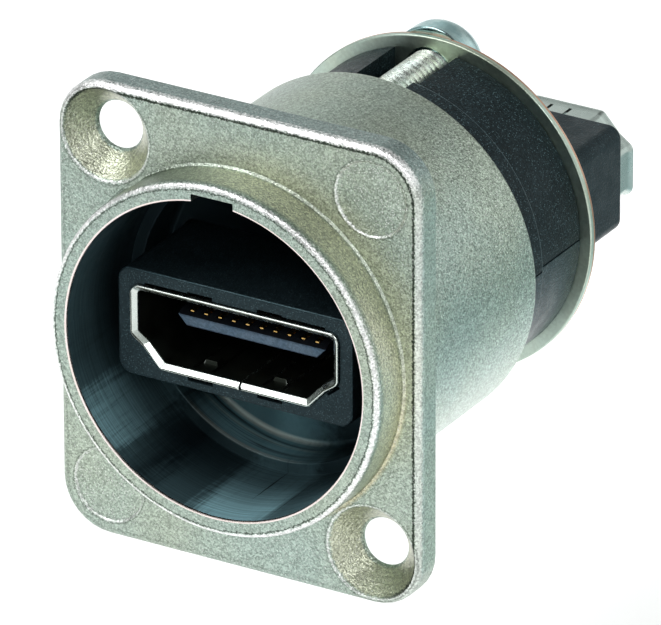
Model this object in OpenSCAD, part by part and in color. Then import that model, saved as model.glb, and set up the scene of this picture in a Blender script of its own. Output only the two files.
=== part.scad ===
// Panel-mount digital video feed-through connector in a D-size housing.
// The bore axis is Y and the front faces -Y. Z is up. The origin is where the axis meets
// the rear face of the flange, which is the face that lies on the panel.

/* [Flange] */
// Width of the flange
flange_w = 26; // [25.5:0.5:34]
// Height of the flange
flange_h = 31; // [30.5:0.5:40]
// Thickness of the flange
flange_t = 2; // [1.7:0.1:4]
// Radius of the flange's corners
flange_corner_r = 3.4; // [1:0.2:5]
// Radius on the front edge of the flange
flange_edge_r = 0.5; // [0.1:0.05:0.7]
// Distance between the panel holes across
hole_dx = 19; // [18.8:0.1:19.6]
// Distance between the panel holes up the flange
hole_dz = 24; // [23.6:0.1:24.6]
// Diameter of a panel hole, clear for an M3 screw
hole_d = 3.2; // [2.8:0.1:3.6]
// Diameter of the countersink at the front face
sink_d = 6.3; // [5.2:0.1:6.5]
// Diameter of the two shallow round recesses in the free corners
recess_d = 5; // [3:0.1:6]
// Depth of the shallow recesses
recess_depth = 0.15; // [0.05:0.05:0.6]

/* [Collar and barrel] */
// Diameter of the collar and of the barrel
barrel_d = 23.6; // [23.2:0.1:24]
// Height of the collar in front of the flange
collar_h = 3; // [1:0.1:5]
// Radius on the front edge of the collar
collar_edge_r = 0.4; // [0.1:0.05:0.5]
// Radius of the fillet where the collar meets the flange
collar_fillet_r = 0.2; // [0.05:0.05:0.3]
// Length of the barrel behind the panel face
barrel_l = 14.6; // [13.5:0.1:17]
// Radius on the rear edge of the barrel
barrel_edge_r = 0.3; // [0.1:0.05:0.4]
// Diameter of the bore
bore_d = 21.2; // [20.6:0.1:21.6]
// Bevel at the mouth of the bore
bore_bevel = 0.15; // [0.05:0.05:0.3]
// Depth of the bore from the rim of the collar
bore_depth = 7.6; // [6:0.1:9]
// Diameter of the narrower inner bore
inner_bore_d = 19.6; // [19:0.1:20.4]
// Length of the inner bore
inner_bore_l = 2.9; // [2:0.1:4]
// Thickness of the web that carries the clamp screws
web_t = 4.6; // [3:0.1:5]
// Diameter of the rear cavity behind the web
cavity_d = 21.4; // [21.3:0.1:22]
// Width of the key notch at the top of the bore
notch_w = 3; // [1.5:0.1:5]
// Depth of the key notch beyond the bore
notch_depth = 0.45; // [0.2:0.05:0.6]

/* [Insert] */
// Thickness of the lip that lies on the end of the barrel
lip_t = 2.2; // [1:0.1:3]
// Diameter of the lip
lip_d = 22; // [21.7:0.1:22.8]
// Length of the insert behind the lip
tail_l = 5.3; // [4.6:0.1:8]
// Diameter of the insert behind the lip
tail_d = 21.3; // [20.6:0.1:21.6]
// Bevel on the rear edge of the insert
tail_bevel = 0.1; // [0.05:0.05:0.4]
// Gap between the two halves at the split
split_gap = 0.12; // [0.05:0.01:0.2]
// Width of the slots that the clamp screws run in
slot_w = 4.5; // [4.3:0.1:5]
// Distance of each slot's middle from the middle plane
slot_x = 0.6; // [0.4:0.05:0.7]

/* [Ground plate and screws] */
// Diameter of the ground plate
plate_d = 22.9; // [22.4:0.1:23.4]
// Thickness of the ground plate
plate_t = 0.5; // [0.3:0.05:0.8]
// Thread diameter of the clamp screws
screw_d = 3; // [2.5:0.1:3.1]
// Length of the clamp screws under the head
screw_l = 16; // [14:0.5:18]
// Diameter of the screw head
head_d = 5.8; // [5:0.1:6]
// Height of the screw head
head_h = 3.2; // [2.4:0.1:4]
// Height of the straight edge of the screw head
head_edge_h = 1.7; // [0.5:0.1:1.8]
// Height of the clamp screws above and below the axis
screw_z = 9; // [8.8:0.05:9.05]
// Distance of the clamp screws from the middle plane
screw_x = 0.45; // [0.1:0.05:0.5]
// Room beyond the tip of a clamp screw in its blind hole
tip_room = 0.3; // [0.1:0.05:0.6]
// Length of one slot of the cross recess
drive_l = 3; // [2:0.1:3.6]
// Width of one slot of the cross recess
drive_w = 0.6; // [0.4:0.05:0.8]
// Depth of the cross recess
drive_depth = 1.3; // [0.8:0.1:1.6]

/* [Adapter body] */
// Thickness of the moulded block beside the shells
block_side_t = 0.9; // [0.7:0.025:1.05]
// Thickness of the moulded block above and below the shells
block_cover_t = 0.9; // [0.8:0.05:1.1]
// Radius of the block's long edges
block_r = 0.9; // [0.5:0.1:1.8]
// How far the block stands in front of the flange's front face
block_front = 0.4; // [0.2:0.1:1.5]
// Length of the block
block_l = 33.7; // [33:0.1:36]
// Height of the rib that locks the block in the insert
rib_h = 0.8; // [0.3:0.1:1]
// Thickness of the locking rib
rib_t = 2; // [1:0.1:3]
// Distance of the rib from the rear end of the insert
rib_back = 2.1; // [1:0.1:3]

/* [Receptacles] */
// Width of a receptacle shell
shell_w = 15.05; // [14.8:0.05:15.2]
// Height of a receptacle shell
shell_h = 5.5; // [5.3:0.05:5.6]
// Height of the block's middle above the middle of a shell, towards its wide side
shell_drop = 0.1; // [0:0.02:0.16]
// Wall of a receptacle shell
shell_t = 0.33; // [0.25:0.01:0.4]
// Length of a receptacle shell
shell_l = 11; // [9:0.1:12]
// How far the front shell stands in front of the block
shell_front = 0.2; // [0:0.05:0.6]
// How far the rear shell stands behind the block
shell_rear = 3.3; // [1:0.1:5]
// Height of the shell's straight sides
side_h = 3.5; // [3.2:0.05:3.6]
// How far the shoulder comes in from the side
shoulder_in = 1; // [0.8:0.05:1.2]
// Height of the shoulder
shoulder_h = 0.7; // [0.6:0.05:0.9]
// Width of the narrow side
narrow_w = 10.6; // [10.2:0.1:10.8]
// Radius at the wide corners of the shell
corner_wide_r = 0.8; // [0.45:0.05:1.2]
// Radius at the bends of the shoulder
corner_bend_r = 0.65; // [0.45:0.05:0.75]
// Width of the seam in the narrow side
seam_w = 0.16; // [0.05:0.01:0.25]
// Distance of the seam from the middle plane
seam_x = 0.4; // [0:0.05:0.8]
// Distance of the spring fingers from the middle plane
finger_x = 2.5; // [2.2:0.05:2.7]
// Width of a spring finger
finger_w = 1.15; // [0.8:0.05:1.3]
// Length of a spring finger
finger_l = 5.5; // [4:0.1:6]
// Distance of a finger's root from the mouth of the shell
finger_start = 0.6; // [0.4:0.05:1.2]
// Width of the slit round a finger
slit_w = 0.22; // [0.1:0.02:0.3]
// Distance of the dimple on a finger from the mouth of the shell
dimple_start = 1.4; // [1.2:0.1:3]
// Height of the dimple on a finger
dimple_h = 0.25; // [0.1:0.05:0.4]
// Length of the dimple
dimple_l = 0.8; // [0.6:0.05:1.2]
// Width of the pockets in the block that the fingers spring into
pocket_w = 1.8; // [1.6:0.05:2.2]
// Height of the finger pockets
pocket_h = 0.24; // [0.16:0.02:0.4]
// Depth of the finger pockets from the end of the block
pocket_depth = 6; // [4:0.1:7]
// Width of the thin reliefs in the block above the wide side of a shell
relief_w = 2.9; // [1:0.1:3]
// Height of the reliefs
relief_h = 0.15; // [0.05:0.05:0.3]
// Depth of the reliefs from the end of the block
relief_depth = 1.2; // [0.5:0.1:3]
// Distance of the middle of the reliefs from the middle plane
relief_x = 5.05; // [4.9:0.05:5.15]

/* [Insulators and contacts] */
// Distance of the tongue's tip from the mouth of the shell
tongue_recess = 2.2; // [1.5:0.1:3]
// Width of the tongue
tongue_w = 10.6; // [10.2:0.1:11]
// Thickness of the tongue
tongue_t = 1.2; // [1.1:0.05:1.4]
// Thickness of the tongue's tip
tip_t = 0.6; // [0.4:0.05:0.8]
// Length of the bevels at the tongue's tip
tip_l = 0.5; // [0.3:0.05:0.6]
// Bevel on the two lower edges of the tongue
tongue_bevel = 0.6; // [0.3:0.05:0.8]
// Height of the tongue's middle below the middle of the block
tongue_drop = 0.15; // [0:0.01:0.2]
// Depth of the socket from the mouth of the shell to its back wall
socket_depth = 7.2; // [6:0.1:8]
// Distance from one contact to the next in a row
contact_pitch = 1; // [0.95:0.01:1.02]
// Number of contacts in the row on the wide side
contacts_wide = 10; // [6:1:10]
// Number of contacts in the row on the narrow side
contacts_narrow = 9; // [5:1:9]
// Width of a contact
contact_w = 0.4; // [0.3:0.02:0.5]
// Thickness of a contact
contact_t = 0.2; // [0.15:0.01:0.25]
// Distance of a contact's tip from the tongue's tip
contact_start = 0.8; // [0.6:0.05:1.5]
// Length of the contact tails behind the insulator
tail_reach = 2.5; // [1.5:0.1:3]

/* [Circuit board] */
// Thickness of the circuit board
board_t = 0.8; // [0.6:0.05:0.9]
// Distance of the board's edges from the outsides of the shells
board_side = 0.275; // [0.1:0.025:0.6]
// Distance of the board from the ends of the shells
board_gap = 0.4; // [0.2:0.05:0.6]
// How deep the board's edges sit in their grooves
board_grip = 0.7; // [0.3:0.05:1]
// Thickness of the copper lands
pad_t = 0.04; // [0.02:0.01:0.08]
// Length of the copper lands
pad_l = 2; // [1.2:0.1:2.4]
// Width of the copper lands
pad_w = 0.6; // [0.5:0.05:0.7]
// Room above and below the board for the contact tails
tail_room = 0.35; // [0.3:0.05:0.5]

/* [Clearances] */
// Clearance of the block in the openings that it passes through
block_fit = 0.1; // [0.05:0.01:0.15]
// Clearance of the rib in its groove
rib_fit = 0.05; // [0.02:0.01:0.15]
// Clearance of the insert in the barrel
insert_fit = 0.1; // [0.05:0.01:0.2]
// Clearance of the screw threads in the web, on the radius
thread_fit = 0.03; // [0.01:0.01:0.08]
// Clearance of the screws in the ground plate, on the radius
plate_fit = 0.2; // [0.1:0.05:0.3]
// Clearance of the shells in the block
shell_fit = 0.04; // [0.02:0.01:0.08]
// Clearance of the insulators in the shells
insulator_fit = 0.04; // [0.02:0.01:0.1]
// Clearance of a contact in its channel
contact_fit = 0.03; // [0.01:0.01:0.05]
// Clearance of the circuit board in its grooves
board_fit = 0.05; // [0.02:0.01:0.1]

/* [Hidden] */
$fn = 64;

// How far a cutting shape runs past the face that it cuts
past = 1;
// Steps of arc at each rounded corner of the shell's outline
arc_steps = 6;

// Sizes that follow the shells
block_w = shell_w + 2 * block_side_t;
block_h = shell_h + 2 * block_cover_t;
board_w = shell_w - 2 * board_side;

// Stations along the axis, from front to rear
front_y = -flange_t;
rim_y = front_y - collar_h;
step_y = rim_y + bore_depth;
floor_y = step_y + inner_bore_l;
web_y = floor_y + web_t;
lip_y = barrel_l + lip_t;
tail_y = lip_y + tail_l;
plate_y = tail_y + plate_t;
screw_y = plate_y - screw_l;
block_y0 = front_y - block_front;
block_y1 = block_y0 + block_l;
rib_y1 = tail_y - rib_back;
rib_y0 = rib_y1 - rib_t;
mouth_front = block_y0 - shell_front;
mouth_rear = block_y1 + shell_rear;
board_y0 = mouth_front + shell_l + board_gap;
board_y1 = mouth_rear - shell_l - board_gap;

// Heights inside a receptacle, measured from the middle of the block
tongue_top = tongue_t / 2 - tongue_drop;
tongue_bottom = -tongue_t / 2 - tongue_drop;
land_z = board_t / 2 + pad_t;

// Stations of a receptacle, measured back from the mouth of its shell
tongue_y = tongue_recess;
contact_y = tongue_y + contact_start;
joggle_y0 = shell_l - insulator_fit;
joggle_y1 = shell_l + board_gap;
contact_end = joggle_y1 + tail_reach;

shell_top = shell_h / 2 - shell_drop;
shell_bottom = shell_top - shell_h;

// Outline of the shell, wide side up, anticlockwise
shell_points = [
    [-narrow_w / 2, shell_bottom],
    [narrow_w / 2, shell_bottom],
    [shell_w / 2 - shoulder_in, shell_top - side_h - shoulder_h],
    [shell_w / 2, shell_top - side_h],
    [shell_w / 2, shell_top],
    [-shell_w / 2, shell_top],
    [-shell_w / 2, shell_top - side_h],
    [-shell_w / 2 + shoulder_in, shell_top - side_h - shoulder_h]
];

function unit(v) = v / norm(v);
function wrap(list, i) = list[(i + len(list)) % len(list)];

// Moves each side of an anticlockwise outline inwards by d
function inset(points, d) = [
    for (i = [0 : len(points) - 1])
        let (u = unit(points[i] - wrap(points, i - 1)))
        let (v = unit(wrap(points, i + 1) - points[i]))
        let (nu = [-u.y, u.x])
        let (nv = [-v.y, v.x])
        points[i] + d * (nu + nv) / (1 + nu * nv)
];

// Replaces one corner b, between a and c, with points along an arc of radius r
function corner_arc(a, b, c, r) =
    let (u = unit(a - b))
    let (v = unit(c - b))
    let (half = acos(u * v) / 2)
    let (centre = b + unit(u + v) * r / sin(half))
    let (start = b + u * r / tan(half) - centre)
    let (turn = (u.x * v.y - u.y * v.x > 0 ? -1 : 1) * (180 - 2 * half))
    [
        for (k = [0 : arc_steps])
            let (t = turn * k / arc_steps)
            centre + [start.x * cos(t) - start.y * sin(t), start.x * sin(t) + start.y * cos(t)]
    ];

// Rounds the wide corners with one radius and the other bends with another
function rounded(points, wide_r, bend_r) = [
    for (i = [0 : len(points) - 1])
        let (r = i == 4 || i == 5 ? wide_r : bend_r)
        each corner_arc(wrap(points, i - 1), points[i], wrap(points, i + 1), r)
];

// Extrudes a drawing in X and Z along Y, from y0 to y1
module along_y(y0, y1) {
    translate([0, y1, 0])
        rotate([90, 0, 0])
            linear_extrude(height = y1 - y0)
                children();
}

// Extrudes a drawing in Y and Z along X, centred on x
module along_x(width) {
    rotate([90, 0, 90])
        linear_extrude(height = width, center = true)
            children();
}

// Turns a drawing of radius and Y about the bore axis
module turned() {
    rotate([-90, 0, 0])
        rotate_extrude()
            children();
}

// A plain round bar on the axis, from y0 to y1
module bar(d, y0, y1) {
    translate([0, y0, 0])
        rotate([-90, 0, 0])
            cylinder(d = d, h = y1 - y0);
}

// A round bar whose front and rear edges are bevelled
module bevelled_bar(d, y0, y1, bevel) {
    bar(d, y0, y1 - bevel);
    translate([0, y1 - bevel, 0])
        rotate([-90, 0, 0])
            cylinder(d1 = d, d2 = d - 2 * bevel, h = bevel);
}

// Rectangle in X and Z with round corners
module round_rect(w, h, r) {
    square([w - 2 * r, h], center = true);
    square([w, h - 2 * r], center = true);
    for (x = [-1, 1], z = [-1, 1])
        translate([x * (w / 2 - r), z * (h / 2 - r)])
            circle(r = r);
}

// Half section of the collar and barrel, as radius and Y
module barrel_section() {
    r = barrel_d / 2;
    translate([0, rim_y + collar_edge_r])
        square([r, barrel_l - rim_y - collar_edge_r - barrel_edge_r]);
    translate([0, rim_y])
        square([r - collar_edge_r, barrel_l - rim_y]);
    translate([0, rim_y + collar_edge_r])
        square([r - barrel_edge_r, barrel_l - rim_y - collar_edge_r]);
    translate([r - collar_edge_r, rim_y + collar_edge_r])
        circle(r = collar_edge_r);
    translate([r - barrel_edge_r, barrel_l - barrel_edge_r])
        circle(r = barrel_edge_r);
    difference() {
        translate([r - collar_fillet_r, front_y - collar_fillet_r])
            square([2 * collar_fillet_r, 2 * collar_fillet_r]);
        translate([r + collar_fillet_r, front_y - collar_fillet_r])
            circle(r = collar_fillet_r);
    }
}

// Square plate with round corners and a rounded front edge
module flange_plate() {
    r = flange_edge_r;
    c = flange_corner_r;
    along_y(front_y + r, 0)
        round_rect(flange_w, flange_h, c);
    along_y(front_y, front_y + r)
        round_rect(flange_w - 2 * r, flange_h - 2 * r, c - r);
    for (s = [-1, 1]) {
        translate([s * (flange_w / 2 - r), front_y + r, 0])
            cylinder(r = r, h = flange_h - 2 * c, center = true);
        translate([0, front_y + r, s * (flange_h / 2 - r)])
            rotate([0, 90, 0])
                cylinder(r = r, h = flange_w - 2 * c, center = true);
        for (t = [-1, 1])
            translate([s * (flange_w / 2 - c), front_y + r, t * (flange_h / 2 - c)])
                rotate([-90, 0, 0])
                    rotate_extrude()
                        translate([c - r, 0])
                            circle(r = r);
    }
}

// Countersunk hole for a panel screw
module panel_hole() {
    bar(hole_d, front_y - past, past);
    translate([0, front_y, 0])
        rotate([-90, 0, 0])
            cylinder(d1 = sink_d, d2 = hole_d, h = (sink_d - hole_d) / 2);
    bar(sink_d, front_y - past, front_y);
}

// Places its children at both clamp screws, half a turn apart
module at_screws() {
    for (turn = [0, 180])
        rotate([0, turn, 0])
            translate([-screw_x, 0, screw_z])
                children();
}

// The opening that the block passes through
module block_opening(y0, y1) {
    along_y(y0, y1)
        round_rect(block_w + 2 * block_fit, block_h + 2 * block_fit, block_r + block_fit);
}

module housing() {
    color("darkseagreen")
        difference() {
            union() {
                flange_plate();
                turned()
                    barrel_section();
            }
            bar(bore_d, rim_y - past, step_y);
            translate([0, rim_y, 0])
                rotate([-90, 0, 0])
                    cylinder(d1 = bore_d + 2 * bore_bevel, d2 = bore_d, h = bore_bevel);
            bar(inner_bore_d, step_y - past, floor_y);
            bar(cavity_d, web_y, barrel_l + past);
            block_opening(floor_y - past, web_y + past);
            along_y(rim_y - past, step_y)
                translate([-notch_w / 2, 0])
                    square([notch_w, bore_d / 2 + notch_depth]);
            for (s = [-1, 1]) {
                translate([-s * hole_dx / 2, 0, s * hole_dz / 2])
                    panel_hole();
                translate([s * hole_dx / 2, 0, s * hole_dz / 2])
                    bar(recess_d, front_y - past, front_y + recess_depth);
            }
            at_screws()
                bar(screw_d + 2 * thread_fit, screw_y - tip_room, web_y + past);
        }
}

// The upper half of the clamping insert. The lower half is the same piece, turned over.
module insert_half() {
    color("darkslategray")
        difference() {
            union() {
                bar(cavity_d - 2 * insert_fit, web_y + insert_fit, barrel_l + past);
                bar(lip_d, barrel_l, lip_y);
                bevelled_bar(tail_d, lip_y - past, tail_y, tail_bevel);
            }
            along_y(web_y - past, tail_y + past)
                translate([-lip_d, split_gap / 2 - lip_d])
                    square([2 * lip_d, lip_d]);
            block_opening(web_y - past, tail_y + past);
            along_y(rib_y0 - rib_fit, rib_y1 + rib_fit)
                round_rect(
                    block_w + 2 * (rib_h + rib_fit),
                    block_h + 2 * (rib_h + rib_fit),
                    block_r + rib_h + rib_fit
                );
            translate([-slot_x, 0, screw_z])
                bar(slot_w, web_y - past, tail_y + past);
            along_y(web_y - past, tail_y + past)
                translate([-slot_x - slot_w / 2, screw_z])
                    square([slot_w, lip_d]);
        }
}

module insert_upper() {
    insert_half();
}

module insert_lower() {
    rotate([0, 180, 0])
        insert_half();
}

// The room that one receptacle needs in the block, from the mouth of its shell
module receptacle_pocket() {
    along_y(-past, shell_l)
        polygon(rounded(inset(shell_points, -shell_fit), corner_wide_r, corner_bend_r));
}

// The pockets that the spring fingers move into
module finger_pockets() {
    for (x = [-1, 1])
        translate([x * finger_x - pocket_w / 2, -past, shell_bottom - shell_fit - pocket_h])
            cube([pocket_w, pocket_depth + past, shell_h + 2 * (shell_fit + pocket_h)]);
}

// The thin reliefs at the mouth of a pocket, above the wide side of the shell
module shell_reliefs() {
    for (x = [-1, 1])
        translate([x * relief_x - relief_w / 2, -past, 0])
            cube([relief_w, relief_depth + past, shell_top + shell_fit + relief_h]);
}

// Places its children at the front receptacle
module at_front() {
    translate([0, mouth_front, 0])
        children();
}

// Places its children at the rear receptacle, which faces back and is upside down
module at_rear() {
    translate([0, mouth_rear, 0])
        rotate([180, 0, 0])
            children();
}

module adapter_body() {
    color("midnightblue")
        difference() {
            union() {
                along_y(block_y0, block_y1)
                    round_rect(block_w, block_h, block_r);
                along_y(rib_y0, rib_y1)
                    round_rect(block_w + 2 * rib_h, block_h + 2 * rib_h, block_r + rib_h);
            }
            at_front()
                receptacle_pocket();
            at_rear()
                receptacle_pocket();
            translate([0, block_y0, 0]) {
                finger_pockets();
                shell_reliefs();
            }
            translate([0, block_y1, 0])
                rotate([180, 0, 0]) {
                    finger_pockets();
                    shell_reliefs();
                }
            along_y(board_y0 - past, board_y1 + past) {
                square([board_w + 2 * board_fit, board_t + 2 * board_fit], center = true);
                square([board_w - 2 * board_grip, 2 * (land_z + contact_t + tail_room)], center = true);
            }
        }
}

module ground_plate() {
    color("darkkhaki")
        difference() {
            bar(plate_d, tail_y, plate_y);
            block_opening(tail_y - past, plate_y + past);
            at_screws()
                bar(screw_d + 2 * plate_fit, tail_y - past, plate_y + past);
        }
}

// Domed screw head with a cross recess, from the seat backwards
module screw_head() {
    crown = head_h - head_edge_h;
    dome_r = (head_d * head_d / 4 + crown * crown) / (2 * crown);
    difference() {
        intersection() {
            bar(head_d, plate_y, plate_y + head_h);
            translate([0, plate_y + head_h - dome_r, 0])
                sphere(r = dome_r);
        }
        for (turn = [45, 135])
            rotate([0, turn, 0])
                translate([-drive_l / 2, plate_y + head_h - drive_depth, -drive_w / 2])
                    cube([drive_l, drive_depth + past, drive_w]);
    }
}

module clamp_screws() {
    color("gainsboro")
        at_screws() {
            bar(screw_d, screw_y, plate_y);
            screw_head();
        }
}

// Slits that set one spring finger free in both wide walls of the shell
module finger_slits() {
    outer = finger_w + 2 * slit_w;
    translate([-outer / 2, finger_start + finger_l, -shell_h])
        cube([outer, slit_w, 2 * shell_h]);
    for (s = [-1, 1])
        translate([s * (finger_w + slit_w) / 2 - slit_w / 2, finger_start, -shell_h])
            cube([slit_w, finger_l + slit_w, 2 * shell_h]);
}

// Raised dimples on one pair of fingers, inside the shell
module finger_dimples() {
    z = shell_h / 2 - shell_t;
    for (s = [-1, 1])
        translate([0, dimple_start + dimple_l / 2, s * (z - dimple_h / 2 + shell_t / 4) - shell_drop])
            cube([finger_w, dimple_l, dimple_h + shell_t / 2], center = true);
}

// One folded receptacle shell with its mouth at Y = 0
module receptacle_shell() {
    color("silver") {
        difference() {
            along_y(0, shell_l)
                difference() {
                    polygon(rounded(shell_points, corner_wide_r, corner_bend_r));
                    polygon(rounded(
                        inset(shell_points, shell_t),
                        corner_wide_r - shell_t,
                        corner_bend_r - shell_t / 2
                    ));
                }
            for (x = [-1, 1])
                translate([x * finger_x, 0, 0])
                    finger_slits();
            translate([seam_x - seam_w / 2, -past, -shell_h])
                cube([seam_w, shell_l + 2 * past, shell_h]);
        }
        for (x = [-1, 1])
            translate([x * finger_x, 0, 0])
                finger_dimples();
    }
}

// Centres of a row of contacts
function row_x(count) = [for (i = [0 : count - 1]) (i - (count - 1) / 2) * contact_pitch];

// Channels for one row of contacts, open on the face of the tongue
module contact_channels(count, z0, z1) {
    for (x = row_x(count))
        translate([x - contact_w / 2 - contact_fit, contact_y - contact_fit, z0])
            cube([contact_w + 2 * contact_fit, shell_l, z1 - z0]);
}

// One receptacle insulator: a back wall that fills the shell, and the tongue
module receptacle_insulator() {
    slope = (tongue_t - tip_t) / 2;
    back = shell_l - insulator_fit;
    inner = inset(shell_points, shell_t + insulator_fit);
    color("slategray")
        difference() {
            union() {
                along_y(socket_depth, back)
                    polygon(rounded(inner, corner_wide_r - shell_t, corner_bend_r - shell_t / 2));
                intersection() {
                    along_y(tongue_y, back)
                        polygon([
                            [-tongue_w / 2, tongue_top],
                            [-tongue_w / 2 + tongue_bevel, tongue_bottom],
                            [tongue_w / 2 - tongue_bevel, tongue_bottom],
                            [tongue_w / 2, tongue_top]
                        ]);
                    along_x(2 * tongue_w)
                        polygon([
                            [tongue_y, tongue_bottom + slope],
                            [tongue_y + tip_l, tongue_bottom],
                            [back, tongue_bottom],
                            [back, tongue_top],
                            [tongue_y + tip_l, tongue_top],
                            [tongue_y, tongue_top - slope]
                        ]);
                }
            }
            contact_channels(contacts_wide, tongue_top - contact_t - contact_fit, tongue_top + contact_fit);
            contact_channels(contacts_narrow, tongue_bottom - contact_fit, tongue_bottom + contact_t + contact_fit);
        }
}

// One row of contacts whose face towards the board starts at z0 and ends at the land height z1
module contact_row(count, z0, z1, thickness) {
    color("goldenrod")
        for (x = row_x(count))
            translate([x, 0, 0])
                along_x(contact_w)
                    polygon([
                        [contact_y, z0],
                        [joggle_y0, z0],
                        [joggle_y1, z1],
                        [contact_end, z1],
                        [contact_end, z1 + thickness],
                        [joggle_y1, z1 + thickness],
                        [joggle_y0, z0 + thickness],
                        [contact_y, z0 + thickness]
                    ]);
}

module contacts_on_wide_side() {
    contact_row(contacts_wide, tongue_top - contact_t, land_z, contact_t);
}

module contacts_on_narrow_side() {
    contact_row(contacts_narrow, tongue_bottom + contact_t, -land_z, -contact_t);
}

module circuit_board() {
    color("seagreen")
        along_y(board_y0, board_y1)
            square([board_w, board_t], center = true);
}

// Copper lands under both rows of contact tails of one receptacle
module board_pads() {
    y0 = contact_end - pad_l;
    color("peru") {
        for (x = row_x(contacts_wide))
            translate([x - pad_w / 2, y0, board_t / 2])
                cube([pad_w, pad_l, pad_t]);
        for (x = row_x(contacts_narrow))
            translate([x - pad_w / 2, y0, -land_z])
                cube([pad_w, pad_l, pad_t]);
    }
}

module front_shell() {
    at_front()
        receptacle_shell();
}

module front_insulator() {
    at_front()
        receptacle_insulator();
}

module front_contacts_wide() {
    at_front()
        contacts_on_wide_side();
}

module front_contacts_narrow() {
    at_front()
        contacts_on_narrow_side();
}

module front_board_pads() {
    at_front()
        board_pads();
}

module rear_shell() {
    at_rear()
        receptacle_shell();
}

module rear_insulator() {
    at_rear()
        receptacle_insulator();
}

module rear_contacts_wide() {
    at_rear()
        contacts_on_wide_side();
}

module rear_contacts_narrow() {
    at_rear()
        contacts_on_narrow_side();
}

module rear_board_pads() {
    at_rear()
        board_pads();
}

housing();
insert_upper();
insert_lower();
adapter_body();
ground_plate();
clamp_screws();
front_shell();
front_insulator();
front_contacts_wide();
front_contacts_narrow();
rear_shell();
rear_insulator();
rear_contacts_wide();
rear_contacts_narrow();
circuit_board();
front_board_pads();
rear_board_pads();
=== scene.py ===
"""Dressed model of a panel-mount digital video feed-through connector."""

import logging
import math
from dataclasses import dataclass
from enum import Enum
from typing import Callable, Iterable, NamedTuple, Sequence

import bmesh
import bpy
from mathutils import Matrix, Vector


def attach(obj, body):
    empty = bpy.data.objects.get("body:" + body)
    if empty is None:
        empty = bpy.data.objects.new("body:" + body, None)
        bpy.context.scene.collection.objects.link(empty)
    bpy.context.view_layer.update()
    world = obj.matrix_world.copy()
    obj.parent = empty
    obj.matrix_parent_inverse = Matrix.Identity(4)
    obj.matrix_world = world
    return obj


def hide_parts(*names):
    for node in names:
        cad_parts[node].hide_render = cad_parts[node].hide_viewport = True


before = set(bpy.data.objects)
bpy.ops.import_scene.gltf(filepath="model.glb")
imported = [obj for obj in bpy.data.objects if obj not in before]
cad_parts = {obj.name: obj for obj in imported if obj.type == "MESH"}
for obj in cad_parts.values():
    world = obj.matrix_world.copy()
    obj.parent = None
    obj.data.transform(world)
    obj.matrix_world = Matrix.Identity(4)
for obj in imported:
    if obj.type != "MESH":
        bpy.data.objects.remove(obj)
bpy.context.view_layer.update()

MM = 0.001
PER_M = 1000.0
ROOT = "root"
LOG = logging.getLogger("feed_through")

Pair = tuple[float, float]
Triple = tuple[float, float, float]
Region = tuple[Pair, Pair]
Profile = tuple[Pair, ...]
Rounding = tuple[float, int]
Wire = bpy.types.NodeSocket
EdgeTest = Callable[[bmesh.types.BMEdge], bool]

# Sizes that several sub-assemblies share, in millimetres
BLOCK = (16.85, 7.3)
BLOCK_R = 0.9
RIB = (18.0, 20.0)
RIB_H = 0.8
OPENING = (17.05, 7.5, 1.0)
SCREW = (-0.45, 9.0)
PLATE = (22.1, 22.6)
HOLE = (9.5, 12.0)
SHELL_TOP, SHELL_BOTTOM, SHELL_MIDDLE = 2.65, -2.85, -0.1
SHELL_CORNERS = (
    (-5.3, SHELL_BOTTOM),
    (5.3, SHELL_BOTTOM),
    (6.525, -1.55),
    (7.525, -0.85),
    (7.525, SHELL_TOP),
    (-7.525, SHELL_TOP),
    (-7.525, -0.85),
    (-6.525, -1.55),
)
SHELL_RADII = (0.65, 0.65, 0.65, 0.65, 0.8, 0.8, 0.65, 0.65)
SHELL_LEAST_R = 0.15
MIRRORED = (-1.0, 1.0)

# How forms are worked: distances in millimetres, angles in degrees
WELD = 1e-4
SLIVER = 1e-5
TOUCH = 1e-3
CORNER_STRIPS = 8
BLOCK_STRIPS = 3
SOFT_ANGLE = 50.0
SOFT_STRIPS = 2
SOFT_SLIVER = 2e-3
EVEN_WEIGHT = 80
# How far a cutter or a joined form runs past the face that it meets
PAST = 1.0
# How exactly a face lies at an edge to share its finish, and how far a rounded edge may reach
NEAR = 0.01
EDGE_REACH = 0.2


class Slot(Enum):
    """Material slots of the part's record, one passed along with each new piece."""

    NICKEL = "nickel_casting"
    BLACK = "black_moulding"
    NAVY = "navy_moulding"
    INSULATOR = "contact_insulator"
    SHEET = "tinned_sheet"
    ZINC = "zinc_screw"
    SHELL = "plated_shell"
    GOLD = "gold_contact"


class Join(Enum):
    """Ways to combine two closed forms."""

    ADD = "UNION"
    CUT = "DIFFERENCE"


# ---------------------------------------------------------------------------
# Forms
# ---------------------------------------------------------------------------


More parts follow.
